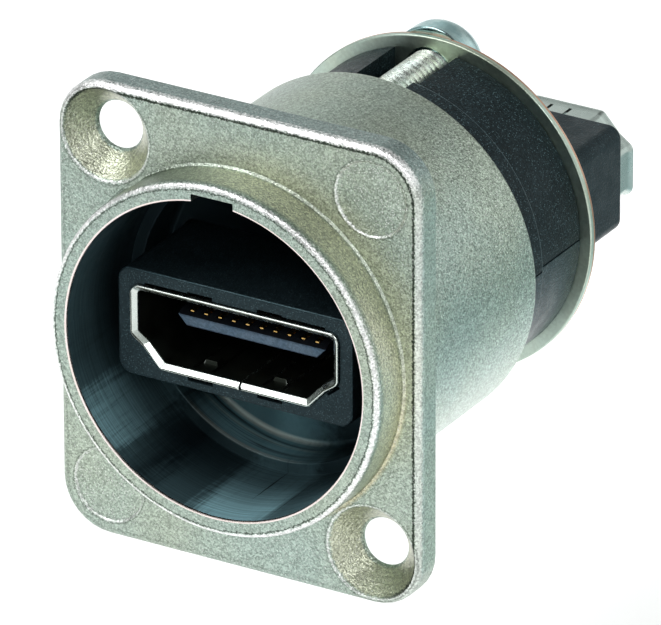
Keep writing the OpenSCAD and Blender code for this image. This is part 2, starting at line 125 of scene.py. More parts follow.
class Form:
    """A closed mesh under construction, in millimetres of the part's frame."""

    def __init__(self) -> None:
        """Starts with an empty mesh."""
        self.bm = bmesh.new()

    @classmethod
    def turned(cls, outline: Sequence[Pair], steps: int) -> "Form":
        """Turns an outline of (radius, y) points about the bore axis.

        Args:
            outline: Points in order. The side between two points on the axis is left open.
            steps: Steps of the full turn.

        Returns:
            The closed form.
        """
        form = cls()
        verts = [form.bm.verts.new((r, y, 0.0)) for r, y in outline]
        sides = [
            form.bm.edges.new((a, b))
            for a, b in zip(verts, verts[1:] + verts[:1])
            if a.co.x > SLIVER or b.co.x > SLIVER
        ]
        form.spun(verts + sides, math.tau, steps, 0.0)
        return form.cleaned()

    @classmethod
    def pin(cls, radius: float, y0: float, y1: float, steps: int) -> "Form":
        """Makes a round pin on the bore axis between two stations."""
        return cls.turned([(0.0, y0), (radius, y0), (radius, y1), (0.0, y1)], steps)

    @classmethod
    def prism(cls, corners: Sequence[Pair], radii: Sequence[float], y0: float, y1: float) -> "Form":
        """Draws a round-cornered outline in X and Z and extrudes it along Y.

        Args:
            corners: (x, z) of each corner, in order.
            radii: Radius at each corner.
            y0: Where the form starts.
            y1: Where it ends.

        Returns:
            The closed form.
        """
        form = cls()
        bm = form.bm
        verts = [bm.verts.new((x, y0, z)) for x, z in corners]
        bm.faces.new(verts)
        offsets = [round(r / math.tan(corner_angle(corners, i) / 2), 4) for i, r in enumerate(radii)]
        for offset in sorted(set(offsets)):
            bmesh.ops.bevel(
                bm,
                geom=[v for v, o in zip(verts, offsets) if o == offset],
                offset=offset,
                offset_type="OFFSET",
                affect="VERTICES",
                segments=CORNER_STRIPS,
                profile=0.5,
                material=-1,
            )
        grown = bmesh.ops.extrude_face_region(bm, geom=list(bm.faces))["geom"]
        bmesh.ops.translate(
            bm, verts=[g for g in grown if isinstance(g, bmesh.types.BMVert)], vec=(0.0, y1 - y0, 0.0)
        )
        return form.cleaned()

    @classmethod
    def slab(cls, width: float, height: float, corner: float, y0: float, y1: float) -> "Form":
        """Makes a round-cornered slab about the axis, between two stations."""
        w, h = width / 2, height / 2
        return cls.prism([(-w, -h), (w, -h), (w, h), (-w, h)], [corner] * 4, y0, y1)

    @classmethod
    def block(cls, low: Sequence[float], high: Sequence[float], edge: float = 0.0) -> "Form":
        """Makes a box between two corners, with its edges rounded.

        Args:
            low: Lowest corner.
            high: Highest corner.
            edge: Radius of every edge, or 0.

        Returns:
            The closed form.
        """
        form = cls()
        size, middle = Vector(high) - Vector(low), (Vector(low) + Vector(high)) / 2
        matrix = Matrix.Translation(middle) @ Matrix.Diagonal((*size, 1.0))
        bmesh.ops.create_cube(form.bm, size=1.0, matrix=matrix)
        if edge:
            form.rounded(lambda e: True, edge, BLOCK_STRIPS)
        return form.cleaned()

    def spun(self, geom: list, angle: float, steps: int, rise: float) -> "Form":
        """Spins some geometry about the bore axis.

        Args:
            geom: The vertices and edges.
            angle: Whole angle in radians.
            steps: Number of steps.
            rise: Travel along the axis at each step. A full turn without it is merged.

        Returns:
            The same form.
        """
        bmesh.ops.spin(
            self.bm,
            geom=geom,
            cent=(0.0, 0.0, 0.0),
            axis=(0.0, 1.0, 0.0),
            dvec=(0.0, rise, 0.0),
            angle=angle,
            steps=steps,
            use_merge=not rise,
            use_normal_flip=False,
            use_duplicate=False,
        )
        return self

    def split(self, station: float, way: float = 1.0, clear: bool = False) -> None:
        """Cuts the mesh at one station and may clear one side of it.

        Args:
            station: Where the cut lies.
            way: 1 to look to the rear from there, -1 to the front.
            clear: Whether what lies that way is cleared.
        """
        bmesh.ops.bisect_plane(
            self.bm,
            geom=self.bm.verts[:] + self.bm.edges[:] + self.bm.faces[:],
            plane_co=(0.0, station, 0.0),
            plane_no=(0.0, way, 0.0),
            clear_outer=clear,
        )

    def cleaned(self) -> "Form":
        """Closes the seams and poles and turns every face outwards.

        Returns:
            The same form.
        """
        bmesh.ops.remove_doubles(self.bm, verts=self.bm.verts, dist=WELD)
        bmesh.ops.dissolve_degenerate(self.bm, edges=self.bm.edges, dist=SLIVER)
        bmesh.ops.recalc_face_normals(self.bm, faces=self.bm.faces)
        return self

    def rounded(self, pick: EdgeTest, radius: float, segments: int) -> "Form":
        """Rounds the edges that pick accepts.

        Args:
            pick: Says whether an edge is rounded.
            radius: Width of the rounding on each face.
            segments: Number of strips.

        Returns:
            The same form.
        """
        bmesh.ops.bevel(
            self.bm,
            geom=[e for e in self.bm.edges if pick(e)],
            offset=radius,
            offset_type="OFFSET",
            affect="EDGES",
            segments=segments,
            profile=0.5,
            material=-1,
            clamp_overlap=True,
        )
        return self

    def ring(self, r: float, y: float, radius: float, segments: int) -> "Form":
        """Rounds the turned edge at one radius and station.

        Args:
            r: Radius of the edge.
            y: Station of the edge.
            radius: Width of the rounding.
            segments: Number of strips.

        Returns:
            The same form.
        """

        def on_ring(edge: bmesh.types.BMEdge) -> bool:
            """Says whether both ends of an edge lie on the ring.

            Args:
                edge: The edge.

            Returns:
                True if they do.
            """
            offs = [(math.hypot(v.co.x, v.co.z) - r, v.co.y - y) for v in edge.verts]
            return all(abs(aside) < TOUCH and abs(along) < TOUCH for aside, along in offs)

        return self.rounded(on_ring, radius, segments)

    def outline(self, y: float, radius: float, segments: int) -> "Form":
        """Rounds the whole outline at one end of an extruded form."""
        return self.rounded(lambda e: all(abs(v.co.y - y) < WELD for v in e.verts), radius, segments)

    def placed(self, matrix: Matrix) -> "Form":
        """Moves or turns the form by a matrix in millimetres."""
        bmesh.ops.transform(self.bm, matrix=matrix, verts=self.bm.verts)
        return self

    def shifted(self, x: float, z: float) -> "Form":
        """Moves the form across the bore axis."""
        return self.placed(Matrix.Translation((x, 0.0, z)))

    def mesh(self, name: str) -> bpy.types.Mesh:
        """Writes the form to a new Blender mesh in millimetres.

        Args:
            name: Name of the mesh.

        Returns:
            The mesh.
        """
        data = bpy.data.meshes.new(name)
        self.bm.to_mesh(data)
        return data

    def beside(self, parts: Iterable["Form"]) -> "Form":
        """Takes in other closed forms as they are.

        Args:
            parts: The other forms.

        Returns:
            The same form.
        """
        for part in parts:
            data = part.mesh("part")
            self.bm.from_mesh(data)
            bpy.data.meshes.remove(data)
        return self

    def combined(self, tools: Iterable["Form"], how: Join) -> "Form":
        """Adds other closed forms to this one, or cuts them away.

        Args:
            tools: The other forms.
            how: Whether they are added or cut.

        Returns:
            The same form, with the new mesh.
        """
        work = linked("work", self.mesh("work"))
        others = [linked("tool", tool.mesh("tool")) for tool in tools]
        for other in others:
            step = work.modifiers.new("step", "BOOLEAN")
            step.operation = how.value
            step.solver = "MANIFOLD"
            step.object = other
        made = baked(work)
        for used in [work, *others]:
            drop(used)
        self.bm.clear()
        self.bm.from_mesh(made)
        bpy.data.meshes.remove(made)
        return self.cleaned()

    def finished(
        self,
        name: str,
        finishes: Sequence[bpy.types.Material],
        crease: float = 32.0,
        soften: float = 0.0,
        paint: Callable[[list[Vector], Vector], int] | None = None,
    ) -> bpy.types.Object:
        """Turns the form into a shaded piece of the part, in metres.

        Args:
            name: Name of the piece.
            finishes: Materials of the piece.
            crease: Angle in degrees past which an edge stays sharp.
            soften: Width of the small rounding along its sharper edges, or 0.
            paint: Gives the material's number for a face, from its corners and its normal.

        Returns:
            The new object, at the origin.
        """
        work = linked(name + "_work", self.mesh(name))
        if soften:
            edge = work.modifiers.new("edge", "BEVEL")
            edge.width = soften
            edge.segments = SOFT_STRIPS
            edge.limit_method = "ANGLE"
            edge.angle_limit = math.radians(SOFT_ANGLE)
            edge.miter_outer = "MITER_ARC"
            edge.use_clamp_overlap = True
        softened = baked(work)
        if soften:
            form = Form()
            form.bm.from_mesh(softened)
            bmesh.ops.dissolve_degenerate(form.bm, edges=form.bm.edges, dist=SOFT_SLIVER)
            form.bm.to_mesh(softened)
            form.bm.free()
        softened.shade_smooth()
        softened.set_sharp_from_angle(angle=math.radians(crease))
        work.modifiers.clear()
        work.data = softened
        even = work.modifiers.new("even", "WEIGHTED_NORMAL")
        even.keep_sharp = True
        even.weight = EVEN_WEIGHT
        data = baked(work)
        drop(work)
        if paint:
            for face in data.polygons:
                face.material_index = paint([data.vertices[i].co for i in face.vertices], face.normal)
        data.transform(Matrix.Scale(MM, 4))
        data.name = name
        for finish in finishes:
            data.materials.append(finish)
        self.bm.free()
        return linked(name, data)


def corner_angle(corners: Sequence[Pair], i: int) -> float:
    """Angle in radians between the two sides that meet at one corner of an outline."""
    here = Vector(corners[i])
    return (Vector(corners[i - 1]) - here).angle(Vector(corners[(i + 1) % len(corners)]) - here)


def linked(name: str, data: bpy.types.ID) -> bpy.types.Object:
    """Makes an object of a mesh, a lamp or a camera and puts it in the scene.

    Args:
        name: Name of the object.
        data: What it shows.

    Returns:
        The object.
    """
    made = bpy.data.objects.new(name, data)
    bpy.context.scene.collection.objects.link(made)
    return made


def baked(work: bpy.types.Object) -> bpy.types.Mesh:
    """Gives a work object's mesh with its modifiers applied.

    Args:
        work: The work object.

    Returns:
        The new mesh.
    """
    bpy.context.view_layer.update()
    seen = work.evaluated_get(bpy.context.evaluated_depsgraph_get())
    return bpy.data.meshes.new_from_object(seen)


def drop(work: bpy.types.Object) -> None:
    """Removes a work object and its mesh.

    Args:
        work: The work object.
    """
    data = work.data
    bpy.data.objects.remove(work)
    if data.users == 0:
        bpy.data.meshes.remove(data)


def arc(steps: int) -> list[Pair]:
    """Points along a quarter of the unit circle, from its right to its top."""
    angles = [math.radians(90.0 * i / steps) for i in range(steps + 1)]
    return [(math.cos(a), math.sin(a)) for a in angles]


def shell_outline(grow: float) -> tuple[list[Pair], list[float]]:
    """Gives the corners and radii of the shell's outline, grown outwards.

    Args:
        grow: Distance that each side moves out, or in when it is negative.

    Returns:
        The corners and the radius at each.
    """
    corners = []
    for i, corner in enumerate(SHELL_CORNERS):
        here = Vector(corner)
        u = (here - Vector(SHELL_CORNERS[i - 1])).normalized()
        v = (Vector(SHELL_CORNERS[(i + 1) % len(SHELL_CORNERS)]) - here).normalized()
        nu, nv = Vector((u.y, -u.x)), Vector((v.y, -v.x))
        moved = here + grow * (nu + nv) / (1.0 + nu.dot(nv))
        corners.append((moved.x, moved.y))
    return corners, [max(SHELL_LEAST_R, r + grow) for r in SHELL_RADII]


# ---------------------------------------------------------------------------
# Shader groups
# ---------------------------------------------------------------------------


class Belt(NamedTuple):
    """A range of one measure in millimetres, and how softly its ends fade."""

    low: float
    high: float
    soft: float


class Wiring:
    """Adds nodes to one node tree and joins them."""

    def __init__(self, tree: bpy.types.NodeTree) -> None:
        """Takes the tree that it works on."""
        self.tree = tree

    @classmethod
    def blank(cls, owner: bpy.types.ID) -> "Wiring":
        """Starts on the emptied node tree of a material or a world.

        Args:
            owner: The material or world.

        Returns:
            Its wiring.
        """
        owner.use_nodes = True
        owner.node_tree.nodes.clear()
        return cls(owner.node_tree)

    def feed(self, socket: Wire, value: object) -> None:
        """Links a socket to another, or sets its value. A colour may come without its alpha.

        Args:
            socket: The socket.
            value: The other socket, or the value.
        """
        if isinstance(value, bpy.types.NodeSocket):
            self.tree.links.new(value, socket)
        elif socket.type == "RGBA" and len(value) == 3:
            socket.default_value = (*value, 1.0)
        else:
            socket.default_value = value

    def node(self, kind: str, values: dict | None = None, **settings: object) -> Sequence[Wire]:
        """Adds a node.

        Args:
            kind: Blender's name of the node.
            values: Values or sockets for its inputs, by name or number.
            **settings: The node's own settings.

        Returns:
            The outputs of the new node.
        """
        made = self.tree.nodes.new(kind)
        for key, value in settings.items():
            setattr(made, key, value)
        for key, value in (values or {}).items():
            self.feed(made.inputs[key], value)
        return made.outputs

    def group(self, tree: bpy.types.NodeTree, **values: object) -> Sequence[Wire]:
        """Places a shared group, feeds its inputs by name and gives its outputs."""
        return self.node("ShaderNodeGroup", values, node_tree=tree)

    def math(self, operation: str, a: object, b: object = 0.0, clamp: bool = False) -> Wire:
        """Joins two numbers by one operation."""
        return self.node("ShaderNodeMath", {0: a, 1: b}, operation=operation, use_clamp=clamp)[0]

    def product(self, first: object, *others: object) -> Wire:
        """Multiplies numbers.

        Args:
            first: The first number.
            *others: The other numbers.

        Returns:
            Their product.
        """
        for other in others:
            first = self.math("MULTIPLY", first, other)
        return first

    def highest(self, first: object, *others: object) -> Wire:
        """Gives the highest of some numbers.

        Args:
            first: The first number.
            *others: The other numbers.

        Returns:
            The highest of them.
        """
        for other in others:
            first = self.math("MAXIMUM", first, other)
        return first

    def length(self, a: Wire, b: Wire) -> Wire:
        """Gives the length of the diagonal over two distances."""
        return self.math("SQRT", self.math("ADD", self.product(a, a), self.product(b, b)))

    def span(self, value: Wire, low: object, high: object, to_low: float = 0.0, to_high: float = 1.0) -> Wire:
        """Maps a number smoothly from one range to another.

        Args:
            value: The number.
            low: Start of its range.
            high: End of its range.
            to_low: Result at the start.
            to_high: Result at the end.

        Returns:
            The new number.
        """
        return self.node(
            "ShaderNodeMapRange",
            {"Value": value, "From Min": low, "From Max": high, "To Min": to_low, "To Max": to_high},
            interpolation_type="SMOOTHSTEP",
        )[0]

    def within(self, value: Wire, belt: Belt) -> Wire:
        """Mask of the places where a value lies in a belt.

        Args:
            value: The measure.
            belt: Its belt.

        Returns:
            The mask.
        """
        rise = self.span(value, belt.low - belt.soft, belt.low + belt.soft)
        fall = self.span(value, belt.high - belt.soft, belt.high + belt.soft, 1.0, 0.0)
        return self.product(rise, fall)

    def blend(self, share: object, a: object, b: object, mode: str = "MIX") -> Wire:
        """Mixes two colours."""
        return self.node("ShaderNodeMix", {0: share, 6: a, 7: b}, data_type="RGBA", blend_type=mode)[2]

    def lifted(self, colour: Wire, by: Wire) -> Wire:
        """Multiplies a colour by a number."""
        grey = self.node("ShaderNodeCombineColor", {0: by, 1: by, 2: by})[0]
        return self.blend(1.0, colour, grey, "MULTIPLY")

    def noise(self, place: Wire, scale: float, detail: float = 2.0, rough: float = 0.5) -> Wire:
        """Adds a noise pattern and gives its value."""
        values = {"Vector": place, "Scale": scale, "Detail": detail, "Roughness": rough}
        return self.node("ShaderNodeTexNoise", values)["Fac"]

    def vector(self, operation: str, a: Wire, b: object = (0.0, 0.0, 0.0)) -> Wire:
        """Joins two vectors by one operation."""
        made = self.node("ShaderNodeVectorMath", {0: a, 1: b}, operation=operation)
        return made["Value" if operation in ("DOT_PRODUCT", "LENGTH") else "Vector"]

    def scaled(self, place: Wire, by: object) -> Wire:
        """Scales a vector by a number."""
        return self.node("ShaderNodeVectorMath", {0: place, "Scale": by}, operation="SCALE")[0]

    def axes(self, place: Wire) -> Sequence[Wire]:
        """Splits a place in metres into its x, y and z in millimetres."""
        return self.node("ShaderNodeSeparateXYZ", {0: self.scaled(place, PER_M)})

    def flat(self, x: Wire, y: Wire) -> Wire:
        """Makes a vector of two numbers."""
        return self.node("ShaderNodeCombineXYZ", {0: x, 1: y})[0]


class Groups:
    """The effects that several finishes share, each built once as a node group."""

    def __init__(self) -> None:
        """Builds every group."""
        self.grain = self.build_grain()
        self.drift = self.build_drift()
        self.turning = self.build_turning()
        self.ring = self.build_ring()
        self.scratch = self.build_scratch()
        self.outline = self.build_outline()
        self.band = self.build_band()

    @staticmethod
    def start(
        name: str, outputs: Sequence[str], **inputs: object
    ) -> tuple[Wiring, Sequence[Wire], Sequence[Wire]]:
        """Starts a group that takes a place in metres and more named inputs.

        Args:
            name: Name of the group.
            outputs: Name of each output. All are numbers but the one named colour.
            **inputs: Default value of each input. A number, a colour of 4 or a vector of 3.

        Returns:
            The wiring, the sockets that bring the inputs, and those that take the outputs.
        """
        tree = bpy.data.node_groups.new(name, "ShaderNodeTree")
        for key, value in {"place": (0.0, 0.0, 0.0), **inputs}.items():
            kind = "Float" if isinstance(value, float) else "Color" if len(value) == 4 else "Vector"
            socket = tree.interface.new_socket(key, in_out="INPUT", socket_type=f"NodeSocket{kind}")
            socket.default_value = value
        for key in outputs:
            kind = "Color" if key == "colour" else "Float"
            tree.interface.new_socket(key, in_out="OUTPUT", socket_type=f"NodeSocket{kind}")
        target = tree.nodes.new("NodeGroupOutput")
        wiring = Wiring(tree)
        return wiring, wiring.node("NodeGroupInput"), target.inputs

    def build_grain(self) -> bpy.types.NodeTree:
        """Fine blasted or moulded grain: a height, a value for each grain, light specks for painted glints
        and dark specks.

        Returns:
            The group's tree.
        """
        w, take, give = self.start("surface_grain", ("height", "fleck", "spark", "pit"), size=0.1, wave=0.3)
        place = w.scaled(take["place"], w.math("DIVIDE", PER_M, take["size"]))
        fine, middle, broad = w.noise(place, 0.9, 2.0, 0.6), w.noise(place, 0.32, 1.0), w.noise(place, 0.07)
        height = w.math("ADD", w.product(fine, 0.75), w.product(middle, 0.25))
        w.feed(give["height"], w.math("ADD", height, w.product(broad, w.product(take["wave"], 3.0))))
        cells = w.node("ShaderNodeTexVoronoi", {"Vector": place, "Scale": 1.3})
        own, light, dark = w.node("ShaderNodeSeparateColor", {0: cells["Color"]})
        core = w.span(cells["Distance"], 0.42, 0.18)
        w.feed(give["fleck"], own)
        w.feed(give["spark"], w.product(w.span(light, 0.6, 0.95), core))
        w.feed(give["pit"], w.product(w.span(dark, 0.8, 0.98), core))
        return w.tree

    def build_drift(self) -> bpy.types.NodeTree:
        """Slow change from one colour to another over the surface, with a smudge value.

        Returns:
            The group's tree.
        """
        grey = (0.5, 0.5, 0.5, 1.0)
        w, take, give = self.start("colour_drift", ("colour", "smudge"), size=4.0, first=grey, second=grey)
        place = w.scaled(take["place"], w.math("DIVIDE", PER_M, take["size"]))
        share = w.span(w.noise(place, 1.0, 3.0, 0.55), 0.35, 0.65)
        w.feed(give["colour"], w.blend(share, take["first"], take["second"]))
        w.feed(give["smudge"], w.span(w.noise(place, 2.7, 4.0, 0.6), 0.3, 0.7))
        return w.tree

    def build_turning(self) -> bpy.types.NodeTree:
        """Lines of a turning tool round the bore axis.

        Returns:
            The group's tree.
        """
        w, take, give = self.start("turning_marks", ("height", "line"), pitch=0.12)
        x, y, z = w.axes(take["place"])
        around = w.product(w.math("ARCTAN2", z, x), 0.5)
        lines = w.noise(w.flat(around, w.math("DIVIDE", y, take["pitch"])), 1.0, 3.0, 0.65)
        w.feed(give["height"], lines)
        w.feed(give["line"], w.span(lines, 0.35, 0.7))
        return w.tree

    def build_ring(self) -> bpy.types.NodeTree:
        """Mask of a soft ring about the bore axis, at one radius and station.

        Returns:
            The group's tree.
        """
        w, take, give = self.start("axis_ring", ("mask",), radius=11.9, station=0.0, width=0.2)
        x, y, z = w.axes(take["place"])
        off = w.math("SUBTRACT", w.vector("LENGTH", w.flat(x, z)), take["radius"])
        far = w.length(off, w.math("SUBTRACT", y, take["station"]))
        w.feed(give["mask"], w.math("SUBTRACT", 1.0, w.math("DIVIDE", far, take["width"]), clamp=True))
        return w.tree

    def build_scratch(self) -> bpy.types.NodeTree:
        """Mask of one scratch along the lower bore, thickest in its middle.

        Returns:
            The group's tree.
        """
        w, take, give = self.start("bore_scratch", ("mask",), across=0.0, middle=0.0, reach=2.0, width=0.05)
        x, y, z = w.axes(take["place"])
        waver = w.product(w.math("SUBTRACT", w.noise(take["place"], 900.0, 1.0), 0.5), 0.12)
        off = w.math("ABSOLUTE", w.math("SUBTRACT", w.math("ADD", x, waver), take["across"]))
        run = w.math("ABSOLUTE", w.math("SUBTRACT", y, take["middle"]))
        left = w.math("SUBTRACT", 1.0, w.math("DIVIDE", run, take["reach"]), clamp=True)
        wide = w.math("ADD", w.product(take["width"], left), 0.001)
        inside = w.math("SUBTRACT", 1.0, w.math("DIVIDE", off, wide), clamp=True)
        w.feed(give["mask"], w.product(w.span(inside, 0.0, 0.6), w.math("LESS_THAN", z, 0.0)))
        return w.tree

    def build_outline(self) -> bpy.types.NodeTree:
        """Distance in millimetres from the flange's round-cornered outline, below 0 inside it.

        Returns:
            The group's tree.
        """
        w, take, give = self.start("flange_outline", ("distance",), half=(9.6, 0.0, 12.1), radius=3.4)
        around = w.vector("ABSOLUTE", w.scaled(take["place"], PER_M))
        x, _, z = w.node("ShaderNodeSeparateXYZ", {0: w.vector("SUBTRACT", around, take["half"])})
        far = w.length(w.highest(x, 0.0), w.highest(z, 0.0))
        w.feed(give["distance"], w.math("SUBTRACT", far, take["radius"]))
        return w.tree

    def build_band(self) -> bpy.types.NodeTree:
        """Mask of one painted reflection band that runs along the bore at an angle, with streaky sides.

        Returns:
            The group's tree.
        """
        w, take, give = self.start("bore_band", ("mask",), way=(1.0, 0.0, 0.0), outer=0.93, inner=0.99)
        level = w.vector("MULTIPLY", w.scaled(take["place"], PER_M), (1.0, 0.0, 1.0))
        along = w.vector("DOT_PRODUCT", w.vector("NORMALIZE", level), take["way"])
        streaks = w.noise(w.vector("MULTIPLY", take["place"], (2600.0, 120.0, 2600.0)), 1.0, 3.0, 0.7)
        lines = w.noise(w.vector("MULTIPLY", take["place"], (300.0, 6000.0, 300.0)), 1.0, 2.0, 0.7)
        loose = w.math("SUBTRACT", w.math("ADD", streaks, w.product(lines, 0.6)), 0.8)
        along = w.math("ADD", along, w.product(loose, 0.05))
        w.feed(give["mask"], w.span(along, take["outer"], take["inner"]))
        return w.tree


# ---------------------------------------------------------------------------
# Finishes
# ---------------------------------------------------------------------------

WHITE = (1.0, 1.0, 1.0)
BLACK = (0.0, 0.0, 0.0)
COOL = (0.55, 0.9, 1.0)
PITTED = (0.02, 0.025, 0.02)


@dataclass(frozen=True)
class Finish:
    """One finish of the real object.

    Rough is the mean roughness and how far it strays. Grain is the size of a grain and the height
    of its relief, and drift the size of the colour's slow changes, all in millimetres.
    """

    name: str
    first: Triple
    second: Triple
    rough: Pair
    grain: Pair
    drift: float = 4.0
    wave: float = 0.1
    fleck: float = 0.0
    # Share of the painted glints, light specks in the tint colour
    spark: float = 0.0
    metallic: float = 1.0
    specular: float = 0.5
    tint: Triple = WHITE

    def colour(self, w: Wiring, groups: Groups, place: Wire, colour: Wire) -> Wire:
        """Adds this finish's own marks to the drifting colour."""
        return colour

    def height(self, w: Wiring, groups: Groups, place: Wire, height: Wire) -> Wire:
        """Adds this finish's own relief to the grain."""
        return height

    def make(self, groups: Groups) -> bpy.types.Material:
        """Builds the material.

        Args:
            groups: The shared node groups.

        Returns:
            The material.
        """
        material = bpy.data.materials.new(self.name)
        w = Wiring.blank(material)
        place = w.node("ShaderNodeTexCoord")["Object"]
        size, relief = self.grain
        grain = w.group(groups.grain, place=place, size=size, wave=self.wave)
        drift = w.group(groups.drift, place=place, size=self.drift, first=self.first, second=self.second)
        colour = self.colour(w, groups, place, drift["colour"])
        if self.fleck:
            colour = w.lifted(colour, w.span(grain["fleck"], 0.0, 1.0, 1.0 - self.fleck, 1.0 + self.fleck))
        if self.spark:
            # Dark pits, and painted glints in the tint colour
            for speck, tone in (("pit", PITTED), ("spark", self.tint)):
                colour = w.blend(w.product(grain[speck], self.spark), colour, tone)
        mean, stray = self.rough
        smudge = w.span(drift["smudge"], 0.0, 1.0, mean - stray, mean + stray)
        uneven = w.product(w.math("SUBTRACT", grain["fleck"], 0.5), stray)
        height = self.height(w, groups, place, grain["height"])
        bump = w.node("ShaderNodeBump", {"Strength": 1.0, "Distance": relief * MM, "Height": height})
        shader = w.node(
            "ShaderNodeBsdfPrincipled",
            {
                "Base Color": colour,
                "Metallic": self.metallic,
                "Roughness": w.math("ADD", smudge, uneven),
                "Specular IOR Level": self.specular,
                "Specular Tint": self.tint,
                "Normal": bump[0],
            },
        )
        w.node("ShaderNodeOutputMaterial", {"Surface": shader[0]})
        return material


class Site(NamedTuple):
    """Measures of one place on the casting, in millimetres."""

    x: Wire
    y: Wire
    z: Wire
    flat: Wire
    radius: Wire
    edge: Wire


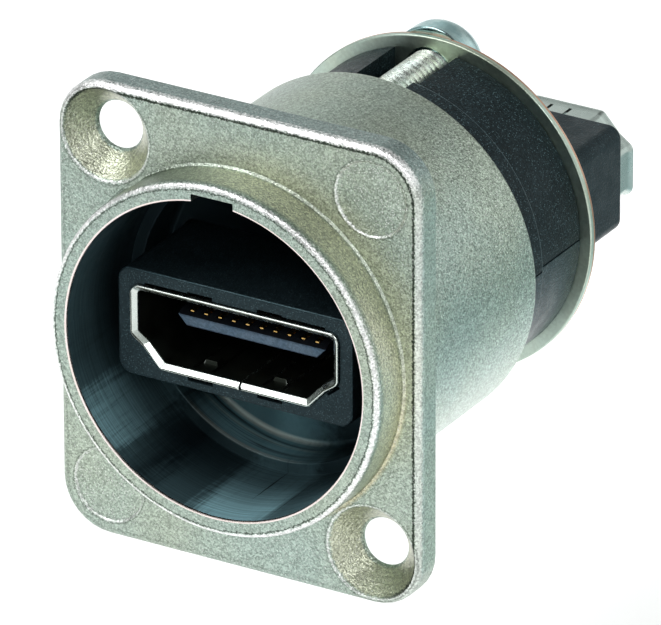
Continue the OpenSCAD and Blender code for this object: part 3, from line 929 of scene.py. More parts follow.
@dataclass(frozen=True)
class Casting(Finish):
    """Blasted nickel, with painted highlights and glints, painted shade lines and painted shade on its
    flanks, and tarnish in its corners.
    """

    # Colours of the painted highlights along the edges and of the painted shade lines beside them
    rubbed: Triple = WHITE
    shadow: Triple = (0.03, 0.04, 0.03)
    tarnish: Triple = (0.62, 0.5, 0.26)
    olive: Triple = (0.62, 0.61, 0.46)
    warm: Triple = (0.78, 0.78, 0.61)
    # Colour of the painted shade on the flange's upper and left flanks
    flank: Triple = (0.2, 0.27, 0.28)
    # Where masks of the flange's upper, right and left side and of the collar's rim rise from 0 to 1
    top: Pair = (12.4, 14.4)
    right: Pair = (9.8, 12.2)
    left: Pair = (-10.5, -12.4)
    rim: Pair = (-4.3, -4.7)
    # The same for three regions: across and up, and for the one with painted glints across and along
    warm_region: Region = ((-8.0, 2.0), (-10.0, -1.0))
    tarnished_region: Region = ((3.0, 9.0), (3.0, -4.0))
    glittering_region: Region = ((1.0, 8.0), (0.1, 0.6))
    # Stations along the bore axis
    fold: Belt = Belt(-2.2, -1.45, 0.1)
    face: Belt = Belt(-2.2, -1.7, 0.05)
    cone: Belt = Belt(-1.9, -0.3, 0.05)
    collar: Belt = Belt(-4.4, -1.6, 0.3)
    # Distances from the flange's outline, from the bore axis, and from the middle of a sink or a recess,
    # where the painted highlights (light) and the painted shade lines (dark) lie
    edge_light: Belt = Belt(-0.36, 0.0, 0.06)
    edge_dark: Belt = Belt(-0.56, -0.41, 0.03)
    rim_light: Belt = Belt(11.5, 11.76, 0.05)
    rim_dark: Belt = Belt(11.36, 11.44, 0.03)
    sink_light: Belt = Belt(3.08, 3.2, 0.04)
    sink_dark: Belt = Belt(3.26, 3.34, 0.03)
    recess_light: Belt = Belt(2.42, 2.54, 0.04)
    recess_dark: Belt = Belt(2.6, 2.66, 0.03)
    # The tarnished fillet: its radius, its station and how far the tarnish reaches
    fillet: Triple = (11.9, -2.05, 0.3)
    # Size in metres of one ragged step along the marks' edges, and how many there are in a metre
    ragged: Pair = (0.00032, 6500.0)
    speck: float = 0.1

    def away(self, w: Wiring, at: Site, x: float, z: float) -> Wire:
        """Gives the distance from the middle of a sink or a recess."""
        return w.vector("LENGTH", w.vector("SUBTRACT", at.flat, (x * HOLE[0], z * HOLE[1], 0.0)))

    def edges(self, w: Wiring, at: Site) -> tuple[Wire, Wire]:
        """Gives the masks of the painted highlights along the edges and of the painted shade lines beside
        them.

        Args:
            w: Wiring of the material.
            at: The place.

        Returns:
            Both masks.
        """
        top, right, rim = w.span(at.z, *self.top), w.span(at.x, *self.right), w.span(at.y, *self.rim)
        fold, face = w.within(at.y, self.fold), w.within(at.y, self.face)
        # Painted highlights are strongest along the upper side, where the light falls, and so are the painted
        # shade lines
        highlight_share = w.highest(w.product(top, 0.9), w.product(right, 0.3))
        deep = w.math("ADD", w.product(w.highest(top, right), 0.78), 0.2)
        bright = w.product(w.within(at.edge, self.edge_light), fold, highlight_share)
        bright = w.highest(bright, w.product(w.within(at.radius, self.rim_light), rim, 0.75))
        dark = w.product(w.within(at.edge, self.edge_dark), fold, deep)
        dark = w.highest(dark, w.product(w.within(at.radius, self.rim_dark), rim, 0.85))
        for s in MIRRORED:
            for z, light, shade, share in (
                (-s, self.sink_light, self.sink_dark, 0.5),
                (s, self.recess_light, self.recess_dark, 0.6),
            ):
                away = self.away(w, at, s, z)
                bright = w.highest(bright, w.product(w.within(away, light), face, 0.5))
                dark = w.highest(dark, w.product(w.within(away, shade), face, share))
        return bright, dark

    def tinged(self, w: Wiring, at: Site, colour: Wire) -> Wire:
        """Gives the sinks and the collar their own tinge, and paints shade on the flange's upper and left
        flanks.

        Args:
            w: Wiring of the material.
            at: The place.
            colour: The colour so far.

        Returns:
            The new colour.
        """
        for s in MIRRORED:
            cone = w.product(w.span(self.away(w, at, s, -s), 3.1, 2.95), w.within(at.y, self.cone), 0.6)
            colour = w.blend(cone, colour, self.olive)
        about = w.span(w.math("ABSOLUTE", w.math("SUBTRACT", at.radius, 12.0)), 2.6, 0.2)
        across, up = self.warm_region
        upper_right = w.product(w.span(at.z, *up), w.span(at.x, *across))
        strength = w.span(at.y, -2.1, -2.35, 0.26, 0.9)
        colour = w.blend(
            w.product(about, upper_right, w.within(at.y, self.collar), strength), colour, self.warm
        )
        # Painted shade on the flange's upper and left flanks
        upper_left = w.highest(w.span(at.z, *self.top), w.span(at.x, *self.left))
        flank = w.product(w.span(at.edge, -0.14, -0.02), upper_left, w.span(at.y, 0.3, 0.1), 0.7)
        return w.blend(flank, colour, self.flank)

    def colour(self, w: Wiring, groups: Groups, place: Wire, colour: Wire) -> Wire:
        """Adds the tinges, the single grains, painted shade towards the top of the face, painted glints,
        painted edge highlights, the painted shade lines beside them and the tarnish.

        Args:
            w: Wiring of the material.
            groups: The shared node groups.
            place: The place in metres.
            colour: The colour so far.

        Returns:
            The new colour.
        """
        reach, scale = self.ragged
        steps = w.node("ShaderNodeTexNoise", {"Vector": place, "Scale": scale, "Detail": 2.0})["Color"]
        moved = w.vector("ADD", place, w.scaled(w.vector("SUBTRACT", steps, (0.5, 0.5, 0.5)), reach))
        x, y, z = w.axes(moved)
        flat = w.flat(x, z)
        edge = w.group(groups.outline, place=moved)["distance"]
        at = Site(x, y, z, flat, w.vector("LENGTH", flat), edge)
        colour = self.tinged(w, at, colour)
        bright, dark = self.edges(w, at)
        speck = w.group(groups.grain, place=place, size=self.speck, wave=0.0)
        # Painted glints: bright specks on the barrel's right side
        across, along = self.glittering_region
        glint_share = w.product(w.span(y, *along), w.span(x, *across))
        strength = w.math("ADD", w.product(glint_share, 0.45), 0.42)
        lift = w.math("ADD", w.product(w.math("SUBTRACT", speck["fleck"], 0.5), strength), 1.0)
        # Painted shade: the flange's face grows darker towards its top
        shade = w.product(w.span(z, -4.0, 12.0, 0.0, -0.14), w.span(y, -1.2, -1.6))
        colour = w.lifted(colour, w.math("ADD", lift, shade))
        bright = w.highest(bright, w.product(speck["spark"], glint_share, 0.8))
        # Paints the highlights along the edges, then the shade lines beside them
        colour = w.blend(dark, w.blend(bright, colour, self.rubbed), self.shadow)
        radius, station, width = self.fillet
        ring = w.group(groups.ring, place=moved, radius=radius, station=station, width=width)["mask"]
        across, up = self.tarnished_region
        lower_right = w.product(w.span(x, *across), w.span(z, *up))
        return w.blend(w.product(ring, lower_right, 0.5), colour, self.tarnish)


class Band(NamedTuple):
    """A painted reflection band of the bore: its angle in degrees, the cosines of its fade, and its strength.
    """

    angle: float
    outer: float
    inner: float
    share: float


class Hoop(NamedTuple):
    """A painted highlight ring in a corner of the bore."""

    radius: float
    station: float
    width: float
    share: float


class Scratch(NamedTuple):
    """A dark scratch along the bore."""

    across: float
    middle: float
    reach: float
    width: float


@dataclass(frozen=True)
class TurnedBore(Finish):
    """Turned metal painted near-black as shade, with painted reflection bands, painted highlight rings, tool
    lines and a few long scratches.
    """

    pitch: float = 0.14
    step_pitch: float = 0.5
    line_dark: float = 0.35
    # Stations where the painted reflection bands fade with depth into painted shade, and where the bore's
    # inner step begins
    fade: Pair = (-5.8, 1.2)
    inner: Pair = (2.4, 3.2)
    # Colours of the painted reflections and of the painted highlight rings
    polished: Triple = (0.44, 0.8, 0.9)
    corner: Triple = (0.9, 1.0, 0.92)
    bands: tuple[Band, ...] = (
        Band(214.0, 0.88, 1.0, 0.22),
        Band(217.0, 0.972, 1.0, 0.75),
        Band(274.0, 0.955, 0.993, 1.0),
        Band(165.0, 0.82, 0.97, 0.16),
        Band(300.0, 0.9, 0.98, 0.3),
        Band(255.0, 0.96, 0.995, 0.16),
    )
    step: Band = Band(255.0, 0.86, 1.0, 1.0)
    hoops: tuple[Hoop, ...] = (
        Hoop(9.66, 5.34, 0.28, 1.0),
        Hoop(9.8, 4.4, 0.25, 0.25),
        Hoop(9.82, 2.75, 0.2, 0.3),
    )
    scratches: tuple[Scratch, ...] = (Scratch(0.8, 0.6, 2.4, 0.09), Scratch(3.5, -1.0, 3.7, 0.07))

    def band(self, w: Wiring, groups: Groups, place: Wire, band: Band) -> Wire:
        """Gives the mask of one painted reflection band.

        Args:
            w: Wiring of the material.
            groups: The shared node groups.
            place: The place in metres.
            band: The band.

        Returns:
            The mask.
        """
        angle = math.radians(band.angle)
        way = (math.cos(angle), 0.0, math.sin(angle))
        return w.group(groups.band, place=place, way=way, outer=band.outer, inner=band.inner)["mask"]

    def colour(self, w: Wiring, groups: Groups, place: Wire, colour: Wire) -> Wire:
        """Paints reflections in the bands and highlights at the step's corners, fading with depth, and
        darkens the lines and the scratches.

        Args:
            w: Wiring of the material.
            groups: The shared node groups.
            place: The place in metres.
            colour: The colour so far.

        Returns:
            The new colour.
        """
        y = w.axes(place)[1]
        depth = w.span(y, *self.fade, 1.0, 0.14)
        for band in self.bands:
            mask = w.product(self.band(w, groups, place, band), band.share, depth)
            colour = w.blend(mask, colour, self.polished)
        line = w.group(groups.turning, place=place, pitch=self.pitch)["line"]
        colour = w.blend(w.product(line, self.line_dark), colour, BLACK)
        step = self.band(w, groups, place, self.step)
        rings = w.group(groups.turning, place=place, pitch=self.step_pitch)["line"]
        inner = w.product(w.span(y, *self.inner), step, w.span(rings, 0.2, 0.9, 0.45, 0.05))
        colour = w.blend(inner, colour, self.polished)
        for hoop in self.hoops:
            sizes = {"radius": hoop.radius, "station": hoop.station, "width": hoop.width}
            mask = w.group(groups.ring, place=place, **sizes)["mask"]
            colour = w.blend(w.product(mask, step, hoop.share), colour, self.corner)
        for scratch in self.scratches:
            mask = w.group(groups.scratch, place=place, **scratch._asdict())["mask"]
            colour = w.blend(mask, colour, BLACK)
        return colour

    def height(self, w: Wiring, groups: Groups, place: Wire, height: Wire) -> Wire:
        """Adds the tool lines to the relief."""
        lines = w.group(groups.turning, place=place, pitch=self.pitch)["height"]
        return w.math("ADD", w.product(height, 0.25), lines)


@dataclass(frozen=True)
class Moulding(Finish):
    """Dull moulded plastic, whose gloss is a little blue."""

    metallic: float = 0.0
    tint: Triple = COOL


FINISHES = {
    "casting": Casting(
        "blasted_nickel", (0.34, 0.425, 0.38), (0.365, 0.425, 0.35), rough=(0.3, 0.015), grain=(0.15, 0.085),
        drift=14.0, wave=0.03, fleck=0.25, spark=0.55,
    ),
    # Near-black: painted shade deep in the bore
    "bore": TurnedBore(
        "turned_bore", (0.008, 0.015, 0.019), (0.005, 0.01, 0.014), rough=(0.4, 0.05), grain=(0.3, 0.02),
        drift=3.0, metallic=0.45, specular=0.1,
    ),
    # Bright pinkish: painted highlight on the bore's mouth chamfer
    "cut_edge": Finish(
        "cut_edge", (0.86, 0.76, 0.74), (0.8, 0.7, 0.66), rough=(0.25, 0.08), grain=(0.08, 0.004), drift=2.0
    ),
    "black": Moulding(
        "black_moulding", (0.006, 0.011, 0.013), (0.01, 0.017, 0.02), rough=(0.4, 0.05), grain=(0.12, 0.06),
        drift=3.0, fleck=0.6, spark=0.26, specular=0.14,
    ),
    # Lighter copy of the black moulding: painted sheen on the insert's lower half
    "black_soft": Moulding(
        "black_moulding_lower", (0.008, 0.016, 0.019), (0.013, 0.024, 0.028), rough=(0.36, 0.05),
        grain=(0.14, 0.07), drift=3.0, fleck=0.5, spark=0.22, specular=0.38,
    ),
    # Lighter bluish moulding: painted highlights along edges
    "worn_edge": Moulding(
        "worn_edge", (0.03, 0.055, 0.065), (0.045, 0.07, 0.08), rough=(0.35, 0.05), grain=(0.12, 0.03),
        drift=1.0, fleck=0.5, spark=0.2, specular=0.4,
    ),
    "navy": Moulding(
        "navy_moulding", (0.007, 0.013, 0.016), (0.01, 0.017, 0.021), rough=(0.45, 0.06), grain=(0.13, 0.045),
        fleck=0.4, spark=0.1, specular=0.25,
    ),
    "insulator": Moulding(
        "contact_insulator", (0.006, 0.008, 0.011), (0.01, 0.012, 0.017), rough=(0.4, 0.06),
        grain=(0.15, 0.01), drift=3.0, specular=0.25, tint=WHITE,
    ),
    # Lighter copy of the insulator: painted light on the tongue's tip
    "tongue_tip": Moulding(
        "tongue_tip", (0.07, 0.11, 0.17), (0.1, 0.14, 0.2), rough=(0.38, 0.06), grain=(0.15, 0.02),
        drift=1.0, fleck=0.2,
    ),
    "sheet": Finish(
        "tinned_sheet", (0.46, 0.56, 0.5), (0.5, 0.57, 0.47), rough=(0.34, 0.03), grain=(0.25, 0.003),
        drift=5.0, wave=0.03, fleck=0.06,
    ),
    "copper_edge": Finish(
        "copper_edge", (0.5, 0.27, 0.18), (0.6, 0.4, 0.3), rough=(0.35, 0.08), grain=(0.12, 0.006), drift=1.5
    ),
    # Zinc plate in two copies: this lighter one on the threads, and a darker one painting shade on the heads
    "zinc": Finish(
        "zinc_plate", (0.86, 0.97, 0.92), (0.9, 0.97, 0.86), rough=(0.27, 0.06), grain=(0.12, 0.006),
        drift=1.5, wave=0.2, fleck=0.06,
    ),
    # Darker copy of the zinc: painted shade on the heads
    "zinc_head": Finish(
        "zinc_head", (0.34, 0.52, 0.53), (0.52, 0.68, 0.68), rough=(0.17, 0.05), grain=(0.5, 0.012),
        drift=1.2, wave=0.2, fleck=0.04,
    ),
    "shell": Finish(
        "plated_shell", (0.62, 0.67, 0.64), (0.58, 0.64, 0.6), rough=(0.26, 0.06), grain=(0.2, 0.003),
        drift=2.0, wave=0.3, fleck=0.03,
    ),
    # Darker copy of the plated shell: painted shade on the rear shell
    "shell_rear": Finish(
        "dull_shell", (0.5, 0.57, 0.54), (0.45, 0.52, 0.49), rough=(0.3, 0.05), grain=(0.2, 0.003),
        drift=3.0, fleck=0.03,
    ),
    # Near-black copy of the plate: painted shade inside the shell
    "shell_inside": Finish(
        "shell_inside", (0.045, 0.052, 0.04), (0.032, 0.038, 0.032), rough=(0.42, 0.05), grain=(0.2, 0.004),
        wave=0.3, fleck=0.03,
    ),
    "gold": Finish(
        "gold_plate", (0.72, 0.47, 0.17), (0.62, 0.4, 0.13), rough=(0.32, 0.06), grain=(0.1, 0.002), drift=1.0
    ),
    "board": Moulding(
        "board_laminate", (0.03, 0.2, 0.08), (0.04, 0.24, 0.1), rough=(0.35, 0.05), grain=(0.2, 0.004),
        drift=2.0, tint=WHITE,
    ),
    "copper": Finish(
        "copper_land", (0.8, 0.48, 0.3), (0.72, 0.42, 0.25), rough=(0.35, 0.08), grain=(0.1, 0.003), drift=1.0
    ),
}


class Workshop:
    """Builds the materials once and hands finished pieces to the frame."""

    def __init__(self) -> None:
        """Builds the shared groups and every finish."""
        groups = Groups()
        self.materials = {key: finish.make(groups) for key, finish in FINISHES.items()}

    def fit(
        self, form: Form, name: str, slot: Slot, keys: Sequence[str], node: str = "", **looks: object
    ) -> None:
        """Turns a form into a finished piece of the part.

        Args:
            form: The form.
            name: Name of the piece.
            slot: Its material slot in the record. Not used.
            keys: Its finishes, in the order of their numbers.
            node: The node that it stands for. A piece without one stands beside the nodes.
            **looks: How it is creased, softened and painted.
        """
        piece = form.finished(name, [self.materials[key] for key in keys], **looks)
        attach(piece, ROOT)
        if node:
            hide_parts(node)
        LOG.info("%s: %d faces, in place of %s", name, len(piece.data.polygons), node or "nothing")

    def dress(self, node: str, key: str) -> None:
        """Gives a node of the frame its finish.

        Args:
            node: The node, which keeps its shape.
            key: The finish.
        """
        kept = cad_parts[node]
        kept.data.materials.clear()
        kept.data.materials.append(self.materials[key])
        LOG.info("%s: kept, dressed as %s", node, key)


# ---------------------------------------------------------------------------
# Sub-assemblies
# ---------------------------------------------------------------------------


@dataclass
class Housing:
    """The cast flange with its collar, barrel and bore."""

    width: float = 26.0
    height: float = 31.0
    front: float = -2.0
    corner_r: float = 3.4
    front_edge: Rounding = (0.5, 6)
    back_edge: Rounding = (0.1, 2)
    barrel_r: float = 11.8
    rim: float = -5.0
    barrel_end: float = 14.6
    bore_r: float = 10.6
    open_r: float = 11.2
    step: float = 2.6
    inner_r: float = 9.8
    floor: float = 5.5
    web: float = 10.1
    cavity_r: float = 10.7
    notch_w: float = 3.0
    notch_r: float = 11.05
    notch_z: float = 5.0
    notch_edge: float = 0.06
    blind_r: float = 1.53
    blind_y: float = 6.3
    steps: int = 256
    sink_steps: int = 96
    blind_steps: int = 48
    rim_edge: Rounding = (0.4, 6)
    mouth_edge: Rounding = (0.15, 2)
    step_edge: Rounding = (0.06, 2)
    inner_edge: Rounding = (0.1, 3)
    floor_edge: Rounding = (0.35, 5)
    end_edge: Rounding = (0.3, 4)
    # The mouth's chamfer, painted bright pinkish as a highlight: how far it reaches outwards, and how little
    # and how much its faces lean forwards
    cut_reach: float = 0.17
    cut_lean: Pair = (0.05, 0.99)
    # How far behind the rim every inner face has the bore's finish
    rim_skip: float = 0.05
    # How far the fillet between collar and flange lies outside the barrel and behind the flange's front
    fillet: Profile = ((0.0, -0.3), (0.05, -0.12), (0.16, -0.03), (0.26, 0.04), (0.26, 1.0), (0.0, 1.0))
    # Radius of a cutter and its station behind the flange's front: a countersunk hole and a shallow recess
    sink: Profile = (
        (0.0, -1.2), (3.6, -1.2), (3.6, -0.06), (3.3, -0.02), (3.17, 0.015),
        (3.08, 0.07), (1.66, 1.8), (1.6, 1.9), (1.6, 3.0), (0.0, 3.0),
    )
    recess: Profile = (
        (0.0, -1.0), (2.9, -1.0), (2.9, -0.05), (2.62, -0.015), (2.52, 0.015),
        (2.46, 0.07), (2.43, 0.115), (2.36, 0.14), (2.2, 0.15), (0.0, 0.15),
    )

    def turned_part(self) -> Form:
        """Makes the collar, barrel and bore, and rounds their edges.

        Returns:
            The closed form.
        """
        outline = [
            (0.0, self.floor),
            (self.inner_r, self.floor),
            (self.inner_r, self.step),
            (self.bore_r, self.step),
            (self.bore_r, self.rim),
            (self.barrel_r, self.rim),
            *((self.barrel_r + out, self.front + back) for out, back in self.fillet),
            (self.barrel_r, self.barrel_end),
            (self.cavity_r, self.barrel_end),
            (self.cavity_r, self.web),
            (0.0, self.web),
        ]
        form = Form.turned(outline, self.steps)
        form.ring(self.barrel_r, self.rim, *self.rim_edge).ring(self.bore_r, self.rim, *self.mouth_edge)
        form.ring(self.bore_r, self.step, *self.step_edge).ring(self.inner_r, self.step, *self.inner_edge)
        form.ring(self.inner_r, self.floor, *self.floor_edge)
        return form.ring(self.barrel_r, self.barrel_end, *self.end_edge)

    def plate(self) -> Form:
        """Makes the flange with its rounded edges, open where the bore is.

        Returns:
            The closed form.
        """
        form = Form.slab(self.width, self.height, self.corner_r, self.front, 0.0)
        form.outline(self.front, *self.front_edge).outline(0.0, *self.back_edge)
        middle = Form.pin(self.open_r, self.front - PAST, PAST, self.steps)
        return form.combined([middle], Join.CUT)

    def cutter(self, profile: Profile) -> Form:
        """Turns the profile of a cutter that enters from the flange's front."""
        return Form.turned([(r, self.front + deep) for r, deep in profile], self.sink_steps)

    def cutters(self) -> list[Form]:
        """Makes everything that is cut from the casting.

        Returns:
            The cutters.
        """
        half, past = self.notch_w / 2, self.web + PAST
        low, high = (-half, self.rim - PAST, self.notch_z), (half, self.step, self.notch_r)
        notch = Form.block(low, high, self.notch_edge)
        tools = [Form.slab(*OPENING, self.floor - PAST, past), notch]
        for s in MIRRORED:
            tools.append(self.cutter(self.sink).shifted(-s * HOLE[0], s * HOLE[1]))
            tools.append(self.cutter(self.recess).shifted(s * HOLE[0], s * HOLE[1]))
            blind = Form.pin(self.blind_r, self.blind_y, past, self.blind_steps)
            tools.append(blind.shifted(s * SCREW[0], s * SCREW[1]))
        return tools

    def paint(self, corners: list[Vector], normal: Vector) -> int:
        """Says which finish a face has: 0 casting, 1 turned bore, 2 the mouth's chamfer with its painted
        highlight.

        Args:
            corners: The face's corners in millimetres.
            normal: Its normal.

        Returns:
            Number of the finish.
        """
        wide = max(math.hypot(c.x, c.z) for c in corners)
        near, far = min(c.y for c in corners), max(c.y for c in corners)
        if wide > self.notch_r + 2 * NEAR or far > self.floor + EDGE_REACH:
            return 0
        least, most = self.cut_lean
        if near < self.rim + EDGE_REACH and wide < self.bore_r + self.cut_reach and least < -normal.y < most:
            return 2
        return 1 if wide < self.bore_r + NEAR or near > self.rim + self.rim_skip else 0

    def build(self, shop: Workshop) -> None:
        """Builds the housing and fits it to the frame.

        Args:
            shop: Gives the finishes and fits the piece.
        """
        form = self.turned_part().combined([self.plate()], Join.ADD)
        form.combined(self.cutters(), Join.CUT)
        keys = ("casting", "bore", "cut_edge")
        shop.fit(form, "cast_housing", Slot.NICKEL, keys, "housing", paint=self.paint)


@dataclass
class ClampInsert:
    """One of the two moulded half rings that clamp the block in the barrel."""

    front: float = 10.2
    barrel_end: float = 14.6
    lip_end: float = 16.8
    end: float = PLATE[0]
    plug_r: float = 10.6
    lip_r: float = 11.0
    tail_r: float = 10.65
    parting: float = 0.06
    slot_x: float = -0.6
    slot_r: float = 2.25
    play: float = 0.05
    steps: int = 160
    slot_steps: int = 64
    lip_edge: Rounding = (0.18, 3)
    tail_edge: Rounding = (0.1, 2)
    soften: float = 0.08
    # How much the faces of the edge with the painted highlight lean to the rear, at least
    lean: float = 0.2
    # Stations and a distance from the axis that lie clear of the whole insert
    clear: Pair = (5.0, 30.0)
    aside: float = 15.0

    def half_ring(self) -> Form:
        """Makes the upper half.

        Returns:
            The closed form.
        """
        outline = [
            (0.0, self.front),
            (self.plug_r, self.front),
            (self.plug_r, self.barrel_end),
            (self.lip_r, self.barrel_end),
            (self.lip_r, self.lip_end),
            (self.tail_r, self.lip_end),
            (self.tail_r, self.end),
            (0.0, self.end),
        ]
        form = Form.turned(outline, self.steps)
        form.ring(self.lip_r, self.lip_end, *self.lip_edge).ring(self.tail_r, self.end, *self.tail_edge)
        start, past = self.clear
        grow, x, z, r = RIB_H + self.play, self.slot_x, SCREW[1], self.slot_r
        size = (BLOCK[0] + 2 * grow, BLOCK[1] + 2 * grow, BLOCK_R + grow)
        under = Form.block((-self.aside, start, -self.aside), (self.aside, past, self.parting))
        groove = Form.slab(*size, RIB[0] - self.play, RIB[1] + self.play)
        slot = Form.pin(r, start, past, self.slot_steps).shifted(x, z)
        mouth = Form.block((x - r, start, z), (x + r, past, self.aside))
        return form.combined([under, Form.slab(*OPENING, start, past), groove, slot, mouth], Join.CUT)

    def paint(self, corners: list[Vector], normal: Vector) -> int:
        """Says which finish a face has: 0 plain, 1 the painted highlight on the rear edge of the raised band.

        Args:
            corners: The face's corners in millimetres.
            normal: Its normal.

        Returns:
            Number of the finish.
        """
        low, high = min(c.y for c in corners), max(c.y for c in corners)
        edge = low > self.lip_end - EDGE_REACH and high < self.lip_end + NEAR
        return 1 if edge and normal.y > self.lean else 0

    def build(self, shop: Workshop) -> None:
        """Builds both halves, which are the same piece half a turn apart.

        Args:
            shop: Gives the finishes and fits the piece.
        """
        # The lower half takes the lighter copy, whose colour paints a sheen
        for half, turn, finish in (("upper", 0.0, "black"), ("lower", math.pi, "black_soft")):
            form = self.half_ring().placed(Matrix.Rotation(turn, 4, "Y"))
            looks = {"soften": self.soften, "paint": self.paint}
            names = (f"clamp_insert_{half}", f"insert_{half}")
            shop.fit(form, names[0], Slot.BLACK, (finish, "worn_edge"), names[1], **looks)


@dataclass
class GroundPlate:
    """The tinned sheet under the screw heads, with bare sheared edges."""

    radius: float = 11.45
    front: float = PLATE[0]
    bare: float = 22.4
    back: float = PLATE[1]
    hole_r: float = 1.7
    steps: int = 192
    hole_steps: int = 48
    front_edge: Rounding = (0.12, 3)
    back_edge: Rounding = (0.05, 2)
    # How much the faces of the bare edge lean forwards or to the rear, at most
    lean: float = 0.8
    # Stations clear of both its faces
    clear: Pair = (21.0, 24.0)

    def paint(self, corners: list[Vector], normal: Vector) -> int:
        """Says which finish a face has: 0 tin, also over the front of the edge, 1 bare sheared edge."""
        return 1 if abs(normal.y) < self.lean and min(c.y for c in corners) > self.bare - NEAR else 0

    def build(self, shop: Workshop) -> None:
        """Builds the plate and fits it to the frame.

        Args:
            shop: Gives the finishes and fits the piece.
        """
        r = self.radius
        outline = [(0.0, self.front), (r, self.front), (r, self.bare), (r, self.back), (0.0, self.back)]
        form = Form.turned(outline, self.steps)
        form.ring(r, self.front, *self.front_edge).ring(r, self.back, *self.back_edge)
        holes = [Form.pin(self.hole_r, *self.clear, self.hole_steps) for _ in MIRRORED]
        for s, hole in zip(MIRRORED, holes):
            hole.shifted(s * SCREW[0], s * SCREW[1])
        form.combined([Form.slab(*OPENING, *self.clear), *holes], Join.CUT)
        keys = ("sheet", "copper_edge")
        shop.fit(form, "ground_plate_sheet", Slot.SHEET, keys, "ground_plate", paint=self.paint)


@dataclass
class ClampScrews:
    """The two screws that pull the insert together, with rolled threads and domed heads."""

    tip: float = 6.6
    seat: float = PLATE[1]
    crest_r: float = 1.49
    root_r: float = 1.2
    pitch: float = 0.5
    flat: float = 0.06
    rise: float = 0.16
    steps: int = 40
    weld: float = 2e-3
    neck_r: float = 1.3
    neck_l: float = 0.2
    head_r: float = 2.9
    head_h: float = 3.2
    straight: float = 1.1
    head_steps: int = 96
    dome_steps: int = 18
    head_edge: Rounding = (0.15, 3)
    crease: float = 40.0
    # The cross recess: half its length, its depth, half its width, and its edge
    cross: Triple = (1.5, 1.3, 0.3)
    cross_edge: float = 0.12
    cross_turns: Pair = (45.0, 135.0)

    def shank(self) -> Form:
        """Makes the threaded shank.

        Returns:
            The closed form.
        """
        profile = (
            (self.root_r, 0.0),
            (self.root_r, self.flat),
            (self.crest_r, self.flat + self.rise),
            (self.crest_r, 2 * self.flat + self.rise),
            (self.root_r, 2 * self.flat + 2 * self.rise),
            (self.root_r, self.pitch),
        )
        form = Form()
        start = self.tip - 2 * self.pitch
        verts = [form.bm.verts.new((r, start + y, 0.0)) for r, y in profile]
        sides = [form.bm.edges.new(pair) for pair in zip(verts, verts[1:])]
        turns = math.ceil((self.seat - start) / self.pitch) + 2
        form.spun(verts + sides, math.tau * turns, self.steps * turns, self.pitch / self.steps)
        bmesh.ops.remove_doubles(form.bm, verts=form.bm.verts, dist=self.weld)
        form.split(self.tip, -1.0, clear=True)
        form.split(self.seat - self.neck_l / 2, clear=True)
        bmesh.ops.holes_fill(form.bm, edges=[e for e in form.bm.edges if e.is_boundary], sides=0)
        return form.cleaned()

    def head(self) -> Form:
        """Makes the domed head with its cross recess.

        Returns:
            The closed form.
        """
        neck, top = self.seat - self.neck_l, self.seat + self.head_h
        base, crown = self.seat + self.straight, self.head_h - self.straight
        dome = [(self.head_r * r, base + crown * y) for r, y in arc(self.dome_steps)]
        dome[-1] = (0.0, top)
        start = [(0.0, neck), (self.neck_r, neck), (self.neck_r, self.seat), (self.head_r, self.seat)]
        form = Form.turned([*start, *dome], self.head_steps).ring(self.head_r, self.seat, *self.head_edge)
        reach, deep, half = self.cross
        slots = []
        for turn in self.cross_turns:
            slot = Form.block((-reach, top - deep, -half), (reach, top + 0.5, half), self.cross_edge)
            slots.append(slot.placed(Matrix.Rotation(math.radians(turn), 4, "Y")))
        return form.combined(slots, Join.CUT)

    def paint(self, corners: list[Vector], normal: Vector) -> int:
        """Says which finish a face has: 0 thread, 1 head, whose darker copy of the zinc paints shade."""
        return 1 if min(c.y for c in corners) > self.seat - NEAR else 0

    def build(self, shop: Workshop) -> None:
        """Builds both screws as one piece.

        Args:
            shop: Gives the finishes and fits the piece.
        """
        parts = [
            part.shifted(*SCREW).placed(Matrix.Rotation(turn, 4, "Y"))
            for turn in (0.0, math.pi)
            for part in (self.shank(), self.head())
        ]
        form, looks = Form().beside(parts), {"crease": self.crease, "paint": self.paint}
        shop.fit(form, "threaded_clamp_screws", Slot.ZINC, ("zinc", "zinc_head"), "clamp_screws", **looks)


class Channels(NamedTuple):
    """A row of channels in the tongue: how many, how far behind the tip, their lowest and highest z."""

    count: int
    start: float
    low: float
    high: float

    def places(self) -> list[float]:
        """Gives the x of each channel, 1 mm apart."""
        return [i - (self.count - 1) / 2 for i in range(self.count)]


